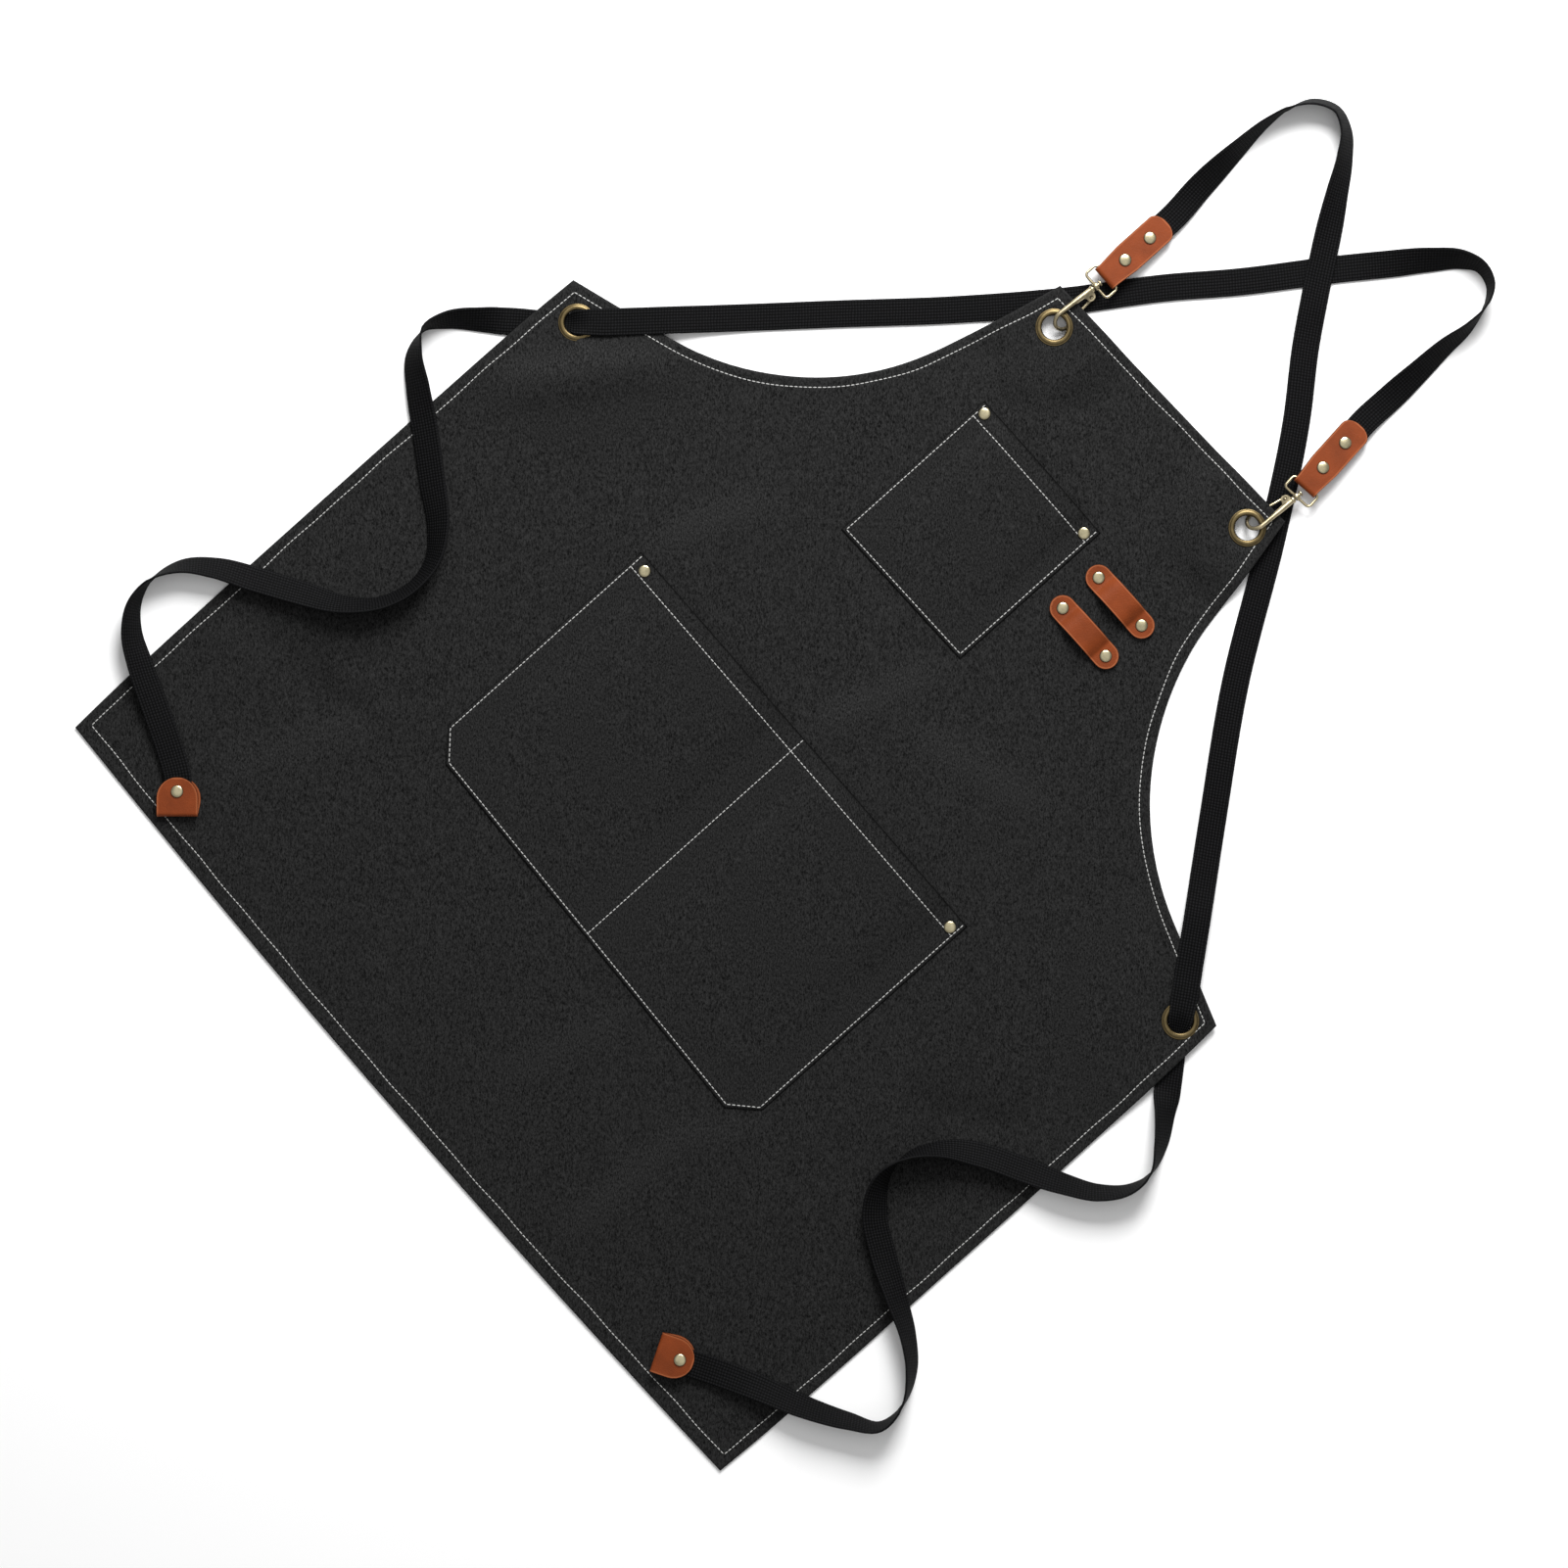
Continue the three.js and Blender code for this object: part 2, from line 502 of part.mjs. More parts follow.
// A rectangular wire ring with a bored boss for the swivel, x running from the boss to the tab
function ringGeometry() {
  const corner = RING_CORNER;
  const spots = [];
  const turns = [[RING_DEPTH - corner, RING_HALF - corner, 0], [corner, RING_HALF - corner, 90],
    [corner, corner - RING_HALF, 180], [RING_DEPTH - corner, corner - RING_HALF, 270]];
  for (const [x, y, from] of turns) {
    for (const step of [0, 45, 90]) {
      const turn = degToRad(from + step);
      spots.push(new THREE.Vector3(x + corner * Math.cos(turn), y + corner * Math.sin(turn), 0));
    }
  }
  const rings = spots.map((spot, i) => {
    const before = spots[(i + spots.length - 1) % spots.length];
    const after = spots[(i + 1) % spots.length];
    const out = new THREE.Vector3(after.y - before.y, before.x - after.x, 0).normalize();
    return Array.from({ length: 8 }, (_, s) => {
      const turn = s * Math.PI / 4;
      return spot.clone().addScaledVector(out, RING_WIRE * Math.cos(turn))
        .add(new THREE.Vector3(0, 0, RING_WIRE * Math.sin(turn)));
    });
  });
  const quads = [];
  rings.forEach((_, r) => {
    const next = (r + 1) % rings.length;
    for (let s = 0; s < 8; s++) {
      const t = (s + 1) % 8;
      quads.push([r * 8 + s, next * 8 + s, next * 8 + t, r * 8 + t]);
    }
  });
  const wire = skin(rings.flat(), quads);
  const boss = new THREE.CylinderGeometry(RING_BOSS.radius, RING_BOSS.radius, RING_BOSS.length, 14);
  const bore = new THREE.CylinderGeometry(RING_BOSS.bore, RING_BOSS.bore, 2 * RING_BOSS.length, 14);
  return cut(join([wire, boss.rotateZ(Math.PI / 2)]), [bore.rotateZ(Math.PI / 2)]);
}

// The hook's bent wire: a straight back, a half-circle bend and a short tip
function hookWire() {
  const stations = [
    [1.5, 0, 0, HOOK_WIRE.neck], [6, 0, 0, HOOK_WIRE.back], [14, 0, 0, HOOK_WIRE.back],
    [22, 0, 0, HOOK_WIRE.neck],
  ];
  for (let turn = 0; turn <= 180; turn += 22.5) {
    const bend = degToRad(turn);
    const wire = lerp(HOOK_WIRE.neck, HOOK_WIRE.bend, Math.min(1, turn / 60));
    stations.push([HOOK_STRAIGHT + HOOK_BEND * Math.sin(bend), HOOK_BEND * (1 - Math.cos(bend)), bend, wire]);
  }
  stations.push([HOOK_STRAIGHT - 0.8 * HOOK_TIP_BACK, 2 * HOOK_BEND, Math.PI, HOOK_WIRE.tip]);
  stations.push([HOOK_STRAIGHT - HOOK_TIP_BACK, 2 * HOOK_BEND, Math.PI, 0.6 * HOOK_WIRE.tip]);
  return loft(stations.map(([a, b, bend, wire]) => Array.from({ length: 8 }, (_, s) => {
    const turn = s * Math.PI / 4;
    const side = wire * Math.cos(turn);
    return new THREE.Vector3(a - side * Math.sin(bend), b + side * Math.cos(bend), wire * Math.sin(turn));
  })));
}

function hookGeometry() {
  const stem = turned([
    [0, -6.4], [HOOK_STEM.head, -6.2], [HOOK_STEM.head, -5], [HOOK_STEM.post, -4.9], [HOOK_STEM.post, 0.4],
    [HOOK_STEM.collar, 0.6], [HOOK_STEM.collar, 2.2], [HOOK_WIRE.neck, 3.4], [0, 3.4],
  ], 10).rotateY(Math.PI / 2);
  const cheek = new THREE.Shape();
  cheek.moveTo(GATE_PIVOT.a - CHEEK.radius, 0);
  cheek.lineTo(GATE_PIVOT.a + CHEEK.foot, 0);
  cheek.lineTo(GATE_PIVOT.a + CHEEK.radius, GATE_PIVOT.b);
  cheek.absarc(GATE_PIVOT.a, GATE_PIVOT.b, CHEEK.radius, 0, Math.PI, false);
  const eye = new THREE.Path();
  eye.absarc(GATE_PIVOT.a, GATE_PIVOT.b, GATE_PIN + GATE_PLAY, 0, 2 * Math.PI, true);
  cheek.holes.push(eye);
  const cheeks = [CHEEK.inner, -CHEEK.inner - CHEEK.thick].map((n) => {
    return slab(cheek, CHEEK.thick, 6).translate(0, 0, n);
  });
  return join([hookWire(), stem, ...cheeks]);
}

// The sprung gate: a knuckle on its pin, a heel, and a bar to the hook's tip
function gateGeometry() {
  const pinLength = 2 * (CHEEK.inner + CHEEK.thick);
  const rods = [[GATE_KNUCKLE, GATE_THICK], [GATE_PIN, pinLength]].map(([radius, length]) => {
    const rod = new THREE.CylinderGeometry(radius, radius, length, 12).rotateX(Math.PI / 2);
    return rod.translate(GATE_PIVOT.a, GATE_PIVOT.b, 0);
  });
  const rise = GATE_FROM.b - GATE_PIVOT.b;
  const heel = new THREE.BoxGeometry(GATE_HEEL, rise, GATE_THICK);
  heel.translate(GATE_PIVOT.a, GATE_PIVOT.b + rise / 2, 0);
  const run = Math.hypot(GATE_END.a - GATE_FROM.a, GATE_END.b - GATE_FROM.b);
  const turn = Math.atan2(GATE_END.b - GATE_FROM.b, GATE_END.a - GATE_FROM.a);
  const bar = new THREE.BoxGeometry(run, GATE_THICK, GATE_THICK).translate(run / 2, 0, 0);
  bar.rotateZ(turn).translate(GATE_FROM.a, GATE_FROM.b, 0);
  return join([...rods, heel, bar]);
}

// A clip: the snap hook in the bib grommet, its gate, the ring and the leather tab of the strap
function addClip(clip) {
  const heading = degToRad(clip.lean - 90);
  const along = new THREE.Vector2(Math.cos(heading), Math.sin(heading));
  const across = new THREE.Vector2(-along.y, along.x).multiplyScalar(clip.gate);
  const swivel = new THREE.Vector2(clip.grommet.x, clip.grommet.y)
    .addScaledVector(along, -HOOK_IN_HOLE.a).addScaledVector(across, -HOOK_IN_HOLE.b);
  const tabTurn = degToRad(90 + clip.turn);
  const toTab = new THREE.Vector2(Math.cos(tabTurn), Math.sin(tabTurn));
  const boss = swivel.clone().addScaledVector(along, HOOK_STEM.boss);
  const ringPitch = degToRad(RING_PITCH);
  const rear = boss.clone().addScaledVector(toTab, RING_DEPTH * Math.cos(ringPitch));
  const bossZ = HOOK_TAB_FOLD_Z + RING_DEPTH * Math.sin(ringPitch);

  const hook = new THREE.Group();
  hook.position.set(swivel.x, swivel.y, bossZ - HOOK_STEM.boss * Math.sin(degToRad(HOOK_PITCH)));
  const roll = clip.gate > 0 ? -HOOK_TILT : 180 + HOOK_TILT;
  hook.rotation.set(degToRad(roll), -degToRad(HOOK_PITCH), heading, 'ZYX');
  addPiece(`snap_hook_${clip.side}`, hookGeometry(), antiqueBrass(), hook);
  addPiece(`hook_gate_${clip.side}`, gateGeometry(), antiqueBrass(), hook);

  const ring = new THREE.Group();
  ring.position.set(boss.x, boss.y, bossZ);
  ring.rotation.set(0, ringPitch, tabTurn, 'ZYX');
  addPiece(`swivel_ring_${clip.side}`, ringGeometry(), antiqueBrass(), ring);

  const tab = new THREE.Group();
  const foldBack = HOOK_TAB.slot / 2 + HOOK_TAB.leaf;
  const fold = rear.clone().addScaledVector(toTab, -foldBack);
  tab.position.set(fold.x, fold.y, HOOK_TAB_FOLD_Z + foldBack * HOOK_TAB_SLOPE);
  tab.rotation.set(0, Math.atan(HOOK_TAB_SLOPE), tabTurn, 'ZYX');
  addTab(`hook_tab_${clip.side}`, HOOK_TAB, tab);
  apron.add(hook, ring, tab);
  return HOOK_TAB.rivets.map((s) => ({ x: tab.position.x + s * toTab.x, y: tab.position.y + s * toTab.y }));
}

function addEndTab(end) {
  const tab = new THREE.Group();
  const turn = degToRad(end.turn);
  tab.position.set(end.x, end.y, END_TAB_Z);
  tab.rotation.z = turn;
  addTab(`end_tab_${end.side}`, END_TAB, tab);
  apron.add(tab);
  return END_TAB.rivets.map((s) => ({ x: end.x + s * Math.cos(turn), y: end.y + s * Math.sin(turn) }));
}

const loopRivets = LOOPS.flatMap((loop) => [-1, 1].map((side) => ({
  name: `rivet_loop_${loop.name}_${side < 0 ? 'left' : 'right'}`,
  x: loop.x + side * LOOP_PITCH / 2,
  y: loop.y,
})));
const holesAt = (spots) => spots.map(({ x, y }) => postTool(x, y, RIVET_HOLE));
const grommetHoles = GROMMETS.map(({ x, y }) => postTool(x, y, GROMMET_BARREL + GAP));

const panelHoles = [...grommetHoles, ...holesAt([...POCKET_RIVETS, ...loopRivets])];
addPiece('apron_panel', cut(panelGeometry(), panelHoles), canvasFinish());
addPiece('chest_pocket', cut(pocketGeometry(CHEST_POCKET), holesAt(POCKET_RIVETS)), canvasFinish());
addPiece('hand_pocket', cut(pocketGeometry(HAND_POCKET), holesAt(POCKET_RIVETS)), canvasFinish());
for (const loop of LOOPS) {
  addPiece(`tool_loop_${loop.name}`, cut(loopGeometry(loop), holesAt(loopRivets)), leatherFinish());
}
const backZ = HEM_THICK - CANVAS - SEAT;
for (const { name, x, y } of POCKET_RIVETS) {
  addPiece(name, rivetGeometry(HEM_THICK + GAP + POCKET_CLOTH + SEAT, backZ).translate(x, y, 0), paleBrass());
}
for (const { name, x, y } of loopRivets) {
  addPiece(name, rivetGeometry(HEM_THICK + GAP + LOOP_LEATHER + SEAT, backZ).translate(x, y, 0), paleBrass());
}
for (const grommet of GROMMETS) addPiece(grommet.name, grommetGeometry(grommet), antiqueBrass());
const hookRivets = CLIPS.map(addClip);
const endRivets = END_TABS.map(addEndTab);
addPiece('strap_left', strapGeometry(STRAP_LEFT, [...hookRivets[0], ...endRivets[1]]), webbingFinish());
addPiece('strap_right', strapGeometry(STRAP_RIGHT, [...hookRivets[1], ...endRivets[0]]), webbingFinish());

export default apron;
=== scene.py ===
from math import atan, atan2, cos, exp, hypot, pi, radians, sin, sqrt, tan

import bmesh
import bpy
import numpy as np
from mathutils import Matrix, Vector


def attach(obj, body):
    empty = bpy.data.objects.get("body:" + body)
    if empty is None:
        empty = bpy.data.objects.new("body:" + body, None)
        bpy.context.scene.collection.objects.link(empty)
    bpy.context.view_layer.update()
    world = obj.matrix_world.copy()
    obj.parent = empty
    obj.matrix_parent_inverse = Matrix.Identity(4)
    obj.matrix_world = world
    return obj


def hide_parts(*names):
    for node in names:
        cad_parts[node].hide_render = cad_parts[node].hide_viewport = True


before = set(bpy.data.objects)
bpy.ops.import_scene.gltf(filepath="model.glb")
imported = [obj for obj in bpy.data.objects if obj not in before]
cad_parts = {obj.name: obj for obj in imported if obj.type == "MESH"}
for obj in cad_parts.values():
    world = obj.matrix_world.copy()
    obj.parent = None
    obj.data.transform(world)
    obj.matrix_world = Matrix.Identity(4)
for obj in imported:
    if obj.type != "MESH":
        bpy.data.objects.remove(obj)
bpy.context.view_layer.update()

bl_info = {
    "name": "Artist apron",
    "version": (1, 0, 0),
    "blender": (4, 5, 0),
    "location": "View3D > Sidebar > Apron",
    "description": "A canvas apron with crossed webbing straps, lying face up",
    "category": "Object",
}

APRON = "apron"
UP = Vector((0, 0, 1))

# Millimetres, y from the hem, as the part is measured
MM = 0.001
HEM_Y = -402.9
PANEL_HALF, WAIST_Y, BIB_Y, BIB_HALF = 345.0, 466.5, 727.7, 114.1
ARMHOLE_CORNER = (160.0, 527.6)
ARMHOLE_RADIUS = 209.0
SKIRT_SKEW, BIB_SKEW = -0.0196, 0.03
HEM_BOW = dict(ends=1.9, middle=6.9, tilt=-0.003, reach=150.0)
SIDE_BOW = 3.0
BIB_SWAY = dict(by=-2.2, start=470.0, full=540.0, fade=620.0, end=700.0)
CLOTH_TOP, CLOTH = 2.0, 1.0
HEM, HEM_WALL, HEM_BLEND, GROUND_GAP = 10.0, 1.9, 0.8, 0.02
BODY_DROP, BODY_STEP = 0.3, (-0.6, 1.6)
SIDE_STITCH, FOOT_STITCH, ARMHOLE_STITCH, CORNER_STITCH = 7.6, 10.0, 7.0, 5.3
PANEL_INSETS = [0, 0.5, 1.3, 3, 5, 6.6, 7.6, 8.6, 10, 11.6, 14]
PANEL_STEPS = 76
PANEL_ROWS = [(1.4, 3), (14, 8), (430, 64), (WAIST_Y, 14), (500, 12), (BIB_Y - 14, 36), (BIB_Y - 1.4, 8),
              (BIB_Y, 3)]

# Relief of the sewn cloth: depth and width of rolled edges and of rows that the thread pulls in
PANEL_ROLL, PANEL_ROW = (0.7, 1.4), (0.22, 1.3)
POCKET_ROLL, MOUTH_ROLL = (0.9, 2.0), (0.5, 1.2)
POCKET_ROW, MOUTH_ROW, SEAM_ROW = (0.25, 1.0), (0.3, 1.1), (0.35, 1.6)

# Stitches: share of the thread's thickness left when pressed, height of its middle, reach of its heading
STITCH_FLAT, STITCH_PROUD, STITCH_REACH = 0.8, 0.12, 0.4

# Grommets: x, y, lift of the cloth there, flat radius, reach of the lift, cloth held
GROMMETS = [
    (-95.2, 701.6, 6.65, 32, 62, 1.0),
    (99.6, 708.4, 6.65, 32, 62, 2.0),
    (-321.1, 455.3, 3.0, 46, 105, 2.0),
    (325.4, 443.2, 3.0, 46, 105, 2.0),
]
GROMMET_NODES = ["grommet_bib_left", "grommet_bib_right", "grommet_waist_left", "grommet_waist_right"]
GROMMET_HOLE, GROMMET_BARREL, GROMMET_FRONT, GROMMET_BACK = 8.75, 9.6, 13.2, 10.9
GROMMET_FACE, GROMMET_FOOT, GROMMET_BITE, GROMMET_GROOVE = 0.7, 0.6, 0.1, 0.95
CLOTH_HOLE, HOLE_REACH = 10.2, 9.0

# Grommet sections: lip as in from the rim and up, crown as in from the rim and down, bore as out and down
LIP_SECTION = [(0.1, 0), (0, 0.15), (0.15, 0.36), (0.6, 0.44), (GROMMET_GROOVE, 0.38)]
CROWN_SECTION = [(1.3, 0.25), (1.9, 0.05), (2.4, 0)]
BORE_SECTION = [(1.5, 0.02), (1.0, 0.1), (0.55, 0.3), (0.2, 0.6), (0, 1.0)]
# Painted shade in the grommets' bore and in the groove inside the lip: how dark, and where it lies and fades
BORE_SHADE, GROOVE_SHADE = (0.95, 0.15, 1.4), (0.85, 0.3)

# Creases left by folding: from x, y to x, y, height and half width
CREASES = [
    (-329, 389, -294, 444, 2.4, 11), (-294, 444, -262, 487, 2.2, 11), (-168, 396, -141, 470, 1.6, 12),
    (-305, 385, -276, 429, -1.2, 9), (-276, 429, -245, 470, -1.0, 9), (-306, 153, -190, 166, -1.2, 9),
    (149, 24, 152, 130, 1.4, 11), (152, 130, 174, 160, 1.0, 10), (2, 396, 28, 476, 1.7, 12),
    (236, 268, 296, 318, -1.1, 12), (-250, 60, -205, 178, 1.1, 13), (60, 440, 150, 470, 1.2, 16),
    (-120, 640, -50, 668, 1.2, 12), (40, 60, 60, 150, 0.9, 14),
]
# Crease shading: painted light and shade, the share by which a crease's height lightens its ridge or darkens
# its valley
CREASE_DEPTH, CREASE_SHADING, CREASE_ENDS = -0.5, 0.17, (20, 18)

# Ripples of spread cloth: length, length of the drift and drift, along x and along y
RIPPLES = (71, 97, 1.3), (63, 113, 0.8)

# Pockets: middle of the lower edge, size, chamfer, rooms and skew at foot and mouth
HAND_POCKET = dict(x=2.6, y=172.2, width=348.0, height=206.7, chamfer=19.0, rooms=2, low=-0.05, high=-0.015)
CHEST_POCKET = dict(x=-28.0, y=497.0, width=123.3, height=133.6, chamfer=0.0, rooms=1, low=0.01, high=-0.01)
POCKET_CLOTH, POCKET_GAPE, POCKET_SEAM_SHARE, POCKET_EASE = 1.2, 6.4, 0.78, 0.3
POCKET_STITCH, MOUTH_BAND, MOUTH_FOLD = 2.6, 12.7, 0.25
POCKET_RIVETS = [(-82.9, 625.2), (26.0, 621.1), (-159.9, 374.2), (168.8, 366.9)]
POCKET_INSETS = [0, 0.4, 1.2, 2.6, 4.0]
POCKET_STEPS = 44
# Painted shade along a pocket's sewn edges and along its mouth: how dark, and where it fades out
POCKET_EDGE_SHADE, MOUTH_SHADE = (0.7, 0, 1.4), (0.9, 0.3, 1.7)

LOOPS = {"upper": (78.6, 608.0), "lower": (77.7, 575.0)}
LOOP_WIDTH, LOOP_PITCH, LOOP_LEATHER, LOOP_SLACK, LOOP_BOW = 18.5, 45.0, 2.0, 5.0, 17.0
LOOP_GAP, LOOP_PRESS, LEATHER_EDGE = 0.2, (0.25, sqrt(30)), 1.2

# Rivets: head, crown, dish of the crown, post and cap, then the rim as in from the head's edge and up
RIVET_HEAD, RIVET_CROWN, RIVET_DISH, RIVET_POST = 4.4, 1.45, 0.5, 1.5
RIVET_CAP, RIVET_CAP_THICK, RIVET_CAP_ROUND = 3.6, 0.6, 0.3
RIVET_RIM = [(0.15, 0), (0, 0.2), (0.08, 0.5), (0.3, 0.8), (0.65, 1.02)]
RIVET_RINGS = (3.2, 2.4, 1.6, 0.8, 0)
# Painted shade round a rivet head's rim: where it starts and ends as in from the edge, and how dark
RIVET_RIM_SHADE = (0.5, 0.05, 0.92)
SEAT, POCKET_SEAT, LOOP_SEAT = 0.15, 0.45, 0.05

HOOK_TAB = dict(length=60.0, width=21.9, neck=18.8, shoulder=(5.0, 22.0), leaf=1.6, slot=2.8, round=7.0,
                rivets=(20.0, 43.5))
END_TAB = dict(length=27.45, width=28.9, neck=28.9, shoulder=(5.0, 9.0), leaf=1.5, slot=2.0, round=14.45,
               rivets=(17.6,))
END_TAB_PEEK = {"left": -1.7, "right": 1.3}
HOOK_TAB_FOLD_Z, HOOK_TAB_SLOPE, END_TAB_Z = 8.0, 0.085, 5.5
TAB_PRESS, TAB_BITE = (0.18, sqrt(26)), 0.1
END_TABS = {"left": (-250.4, 15.8, 138.0), "right": (252.6, 15.1, 29.5)}

RING_WIRE, RING_HALF, RING_DEPTH, RING_CORNER, RING_PITCH = 1.0, 11.3, 10.5, 2.5, 6.5
BOSS_RADIUS, BOSS_LENGTH, BOSS_BORE, BOSS_ROUND = 3.0, 3.2, 2.0, (0.4, 0.5)
HOOK_STRAIGHT, HOOK_BEND, HOOK_TIP_BACK = 29.5, 7.25, 4.5
HOOK_TILT, HOOK_PITCH, HOOK_BOSS_AT = 42.0, 5.0, -1.9
HOOK_IN_HOLE = (38.5, 5.4)
# Painted shade in a ring round each pin head, where its shadow gap would be
HOOK_WIRE, HOOK_THINS, PIN_RING_SHADE = 1.7, (0.3, 60), 0.95
GATE_PIVOT, GATE_FROM, GATE_END = (5.0, 4.0), (5.0, 7.0), (26.5, 11.9)
GATE_THICK, GATE_KNUCKLE, GATE_ROUND, GATE_WIRE = 1.8, 1.8, 0.2, 0.9
CHEEK_INNER, CHEEK_THICK, CHEEK_RADIUS, CHEEK_SOFT = 1.2, 0.9, 3.4, 0.22
CLIPS = {
    "left": dict(grommet=GROMMETS[0], lean=-5.0, turn=0.0, gate=1),
    "right": dict(grommet=GROMMETS[1], lean=-2.0, turn=6.0, gate=-1),
}

# Hook sections: shank as along, across and half sizes, tip as share of its length and half size
SHANK = [(1.2, 0.0, 2.3, 2.1), (3.5, 0.3, 2.5, 2.1), (6, 0.3, 2.5, 2.1), (9, 0.2, 2.35, 2.05),
         (13, 0, 2.15, 2.0), (18, 0, 2.0, 1.9), (24, 0, 1.8, 1.8)]
TIP = [(0.5, 1.35), (0.8, 1.25), (0.95, 0.95), (1.0, 0.5)]
STEM_SECTION = [(0, -6.4), (1.6, -6.35), (2.2, -6.0), (2.3, -5.4), (2.1, -5.0), (1.2, -4.9), (1.2, 0.35),
                (2.2, 0.45), (2.6, 0.8), (2.6, 1.8), (2.3, 2.6), (0, 2.7)]
CHEEK_FOOT = [(1.6, 0), (9.8, 0), (9.2, 2.0)]
PIN_SECTION = [(0, 0), (1.6, 0), (1.6, 0.06), (1.05, 0.07), (1.0, 0.28), (0.75, 0.4), (0, 0.45)]

# Strap routes: x, y, height of what the webbing lies on, tilt, width, sag of its middle
STRAP_WIDTH, STRAP_FLOOR_GAP, STRAP_PITCH, WEBBING_CROWN = 19.0, 0.05, 3.2, 0.25
STRAP_LEFT = [
    (-97, 760, 6.59, 0), (-97, 782, 4.73, 0), (-97, 804, 2.86, 0), (-97, 812, 2.2, 0), (-100.5, 846, 0, 22),
    (-102, 880, 0, 54), (-102, 910, 0, 78), (-99, 928, 0, 92), (-91, 943, 0, 106), (-76, 951, 0, 111),
    (-61, 946, 0, 117), (-48, 933, 0, 127), (-32, 911, 0.4, 146), (-9.5, 880, 1.75, 175),
    (11, 852, 1.75, 180), (32, 825, 0, 180), (66, 786, 0, 180), (116, 718, 0, 180), (176, 629, 0, 180),
    (236, 554, 0, 180), (262, 522, 1.8, 180), (283, 496, 5.3, 180), (304, 470, 5.3, 180),
    (313, 459, 6.1, 180, 19, 0), (319.8, 450.3, 6.1, 180, 18.4, 0.4), (323.5, 445.6, 5.0, 180, 17.4, 1.9),
    (326.6, 441.6, 2.8, 180, 16.4, 3.2), (329.1, 438.5, 1.0, 180, 12, 2.2),
    (331.2, 435.9, 0.3, 180, 11.4, 0.2), (337, 428, 0.2, 179, 15.5), (354, 406, 0, 179),
    (366, 392.5, 0, 140), (381, 375, 0, 120), (391, 357, 0, 95), (389, 338, 0, 74), (376, 320, 0.6, 57),
    (356, 306.5, 2.4, 45), (330, 292, 2.4, 27), (302, 276.5, 2.4, 30), (280, 258.5, 2.4, 58),
    (267.5, 237, 2.4, 84), (268, 214, 2.4, 122), (283, 193.5, 2.4, 155), (306, 180, 2.4, 160),
    (336, 166, 2.4, 141), (362, 154, 2.2, 124), (382, 139.5, 0, 113), (396, 118, 0, 93), (396, 97, 0, 76),
    (378, 83, 0.6, 58), (350, 66.5, 2.5, 41), (316, 50, 2.5, 18), (289, 35.7, 3.6, 3),
    (276.6, 28.7, 4.75, 0), (259.8, 19.2, 4.75, 0),
]
STRAP_RIGHT = [
    (104.6, 766, 6.6, 0), (102.29, 788, 4.73, 0), (99.98, 810, 2.86, 0), (99.14, 818, 2.2, 0),
    (98.8, 844, 0, 10), (98.5, 868, 0, 33), (98, 896, 0, 53), (99, 918, 0, 72), (95.5, 936, 0, 90),
    (86, 949, 0, 100), (73, 952, 0, 108), (60, 945.5, 0, 127), (46, 930, 0, 145), (28, 906, 0, 168),
    (10, 881.5, 0, 180), (-34, 818, 0, 180), (-63, 780, 0, 180), (-102, 723, 0, 180), (-150, 660, 0, 180),
    (-205, 594, 0, 180), (-236, 556.5, 0, 180), (-260, 527.5, 1.8, 180), (-282, 501, 5.3, 180),
    (-300, 479.5, 5.3, 180), (-308, 470, 6.1, 180, 19, 0), (-315.2, 462.1, 6.1, 180, 18.4, 0.4),
    (-319.1, 457.6, 5.0, 180, 17.4, 1.9), (-322.4, 453.8, 2.8, 180, 16.4, 3.2),
    (-325.1, 450.8, 1.0, 180, 12, 2.2), (-327.2, 448.4, 0.3, 180, 11.4, 0.2), (-333, 442, 0.2, 179, 15.5),
    (-353, 421.3, 0, 178), (-366, 408, 0, 150), (-383, 388, 0, 122), (-389, 372, 0, 92),
    (-381, 356, 0.6, 55), (-361, 341.5, 2.4, 30), (-338, 327, 2.4, 18), (-305, 305, 2.4, 20),
    (-279, 287, 2.4, 38), (-264, 268, 2.4, 55), (-260, 248, 2.4, 64), (-267, 221, 2.4, 63),
    (-284, 201, 2.4, 50), (-308, 185.5, 2.4, 28), (-338, 167, 2.4, 25), (-362, 152, 2.2, 42),
    (-379, 135, 0, 62), (-386, 113, 0, 88), (-381, 93, 0, 112), (-367, 78, 0.8, 132),
    (-349, 68.5, 2.5, 150), (-316, 54.5, 2.5, 168), (-286, 42, 3.6, 178), (-271, 34.5, 4.75, 180),
    (-256.5, 21.3, 4.75, 180),
]

# Weave: turn of the canvas twill in degrees, and the webbing's ribs, metres from pick to pick and their slant
TWILL_TURN = 42.0
WEBBING_RIBS, WEBBING_PICK, WEBBING_SLANT = 9, 0.00206, 0.0009

# The photograph's frame: its middle, its width on the ground and its turn
VIEW_MIDDLE = (16.45, 347.3)
VIEW_WIDTH = 1.0999
VIEW_TURN = 48.1
VIEW_DISTANCE = 4.2

# The studio: floor in metres, lights by place, size and watts, and the white all around
FLOOR_HALF, FLOOR_Z = 8, -0.0003
LIGHTS = {
    "key": ((-1.1, 1.5, 1.5), 1.2, 98.0),
    "fill": ((2.0, -1.0, 2.4), 2.8, 5.0),
    "top": ((-0.2, 0.2, 3.4), 3.2, 18.0),
}
ROOM_LIGHT = 0.37


# Shapes of the cloth

def sizes():
    return bpy.context.scene.apron_sizes


def point(x, y, z):
    """A point of the apron, given in millimetres from the hem, in the shared frame."""
    return Vector((x * MM, (y + HEM_Y) * MM, z * MM))


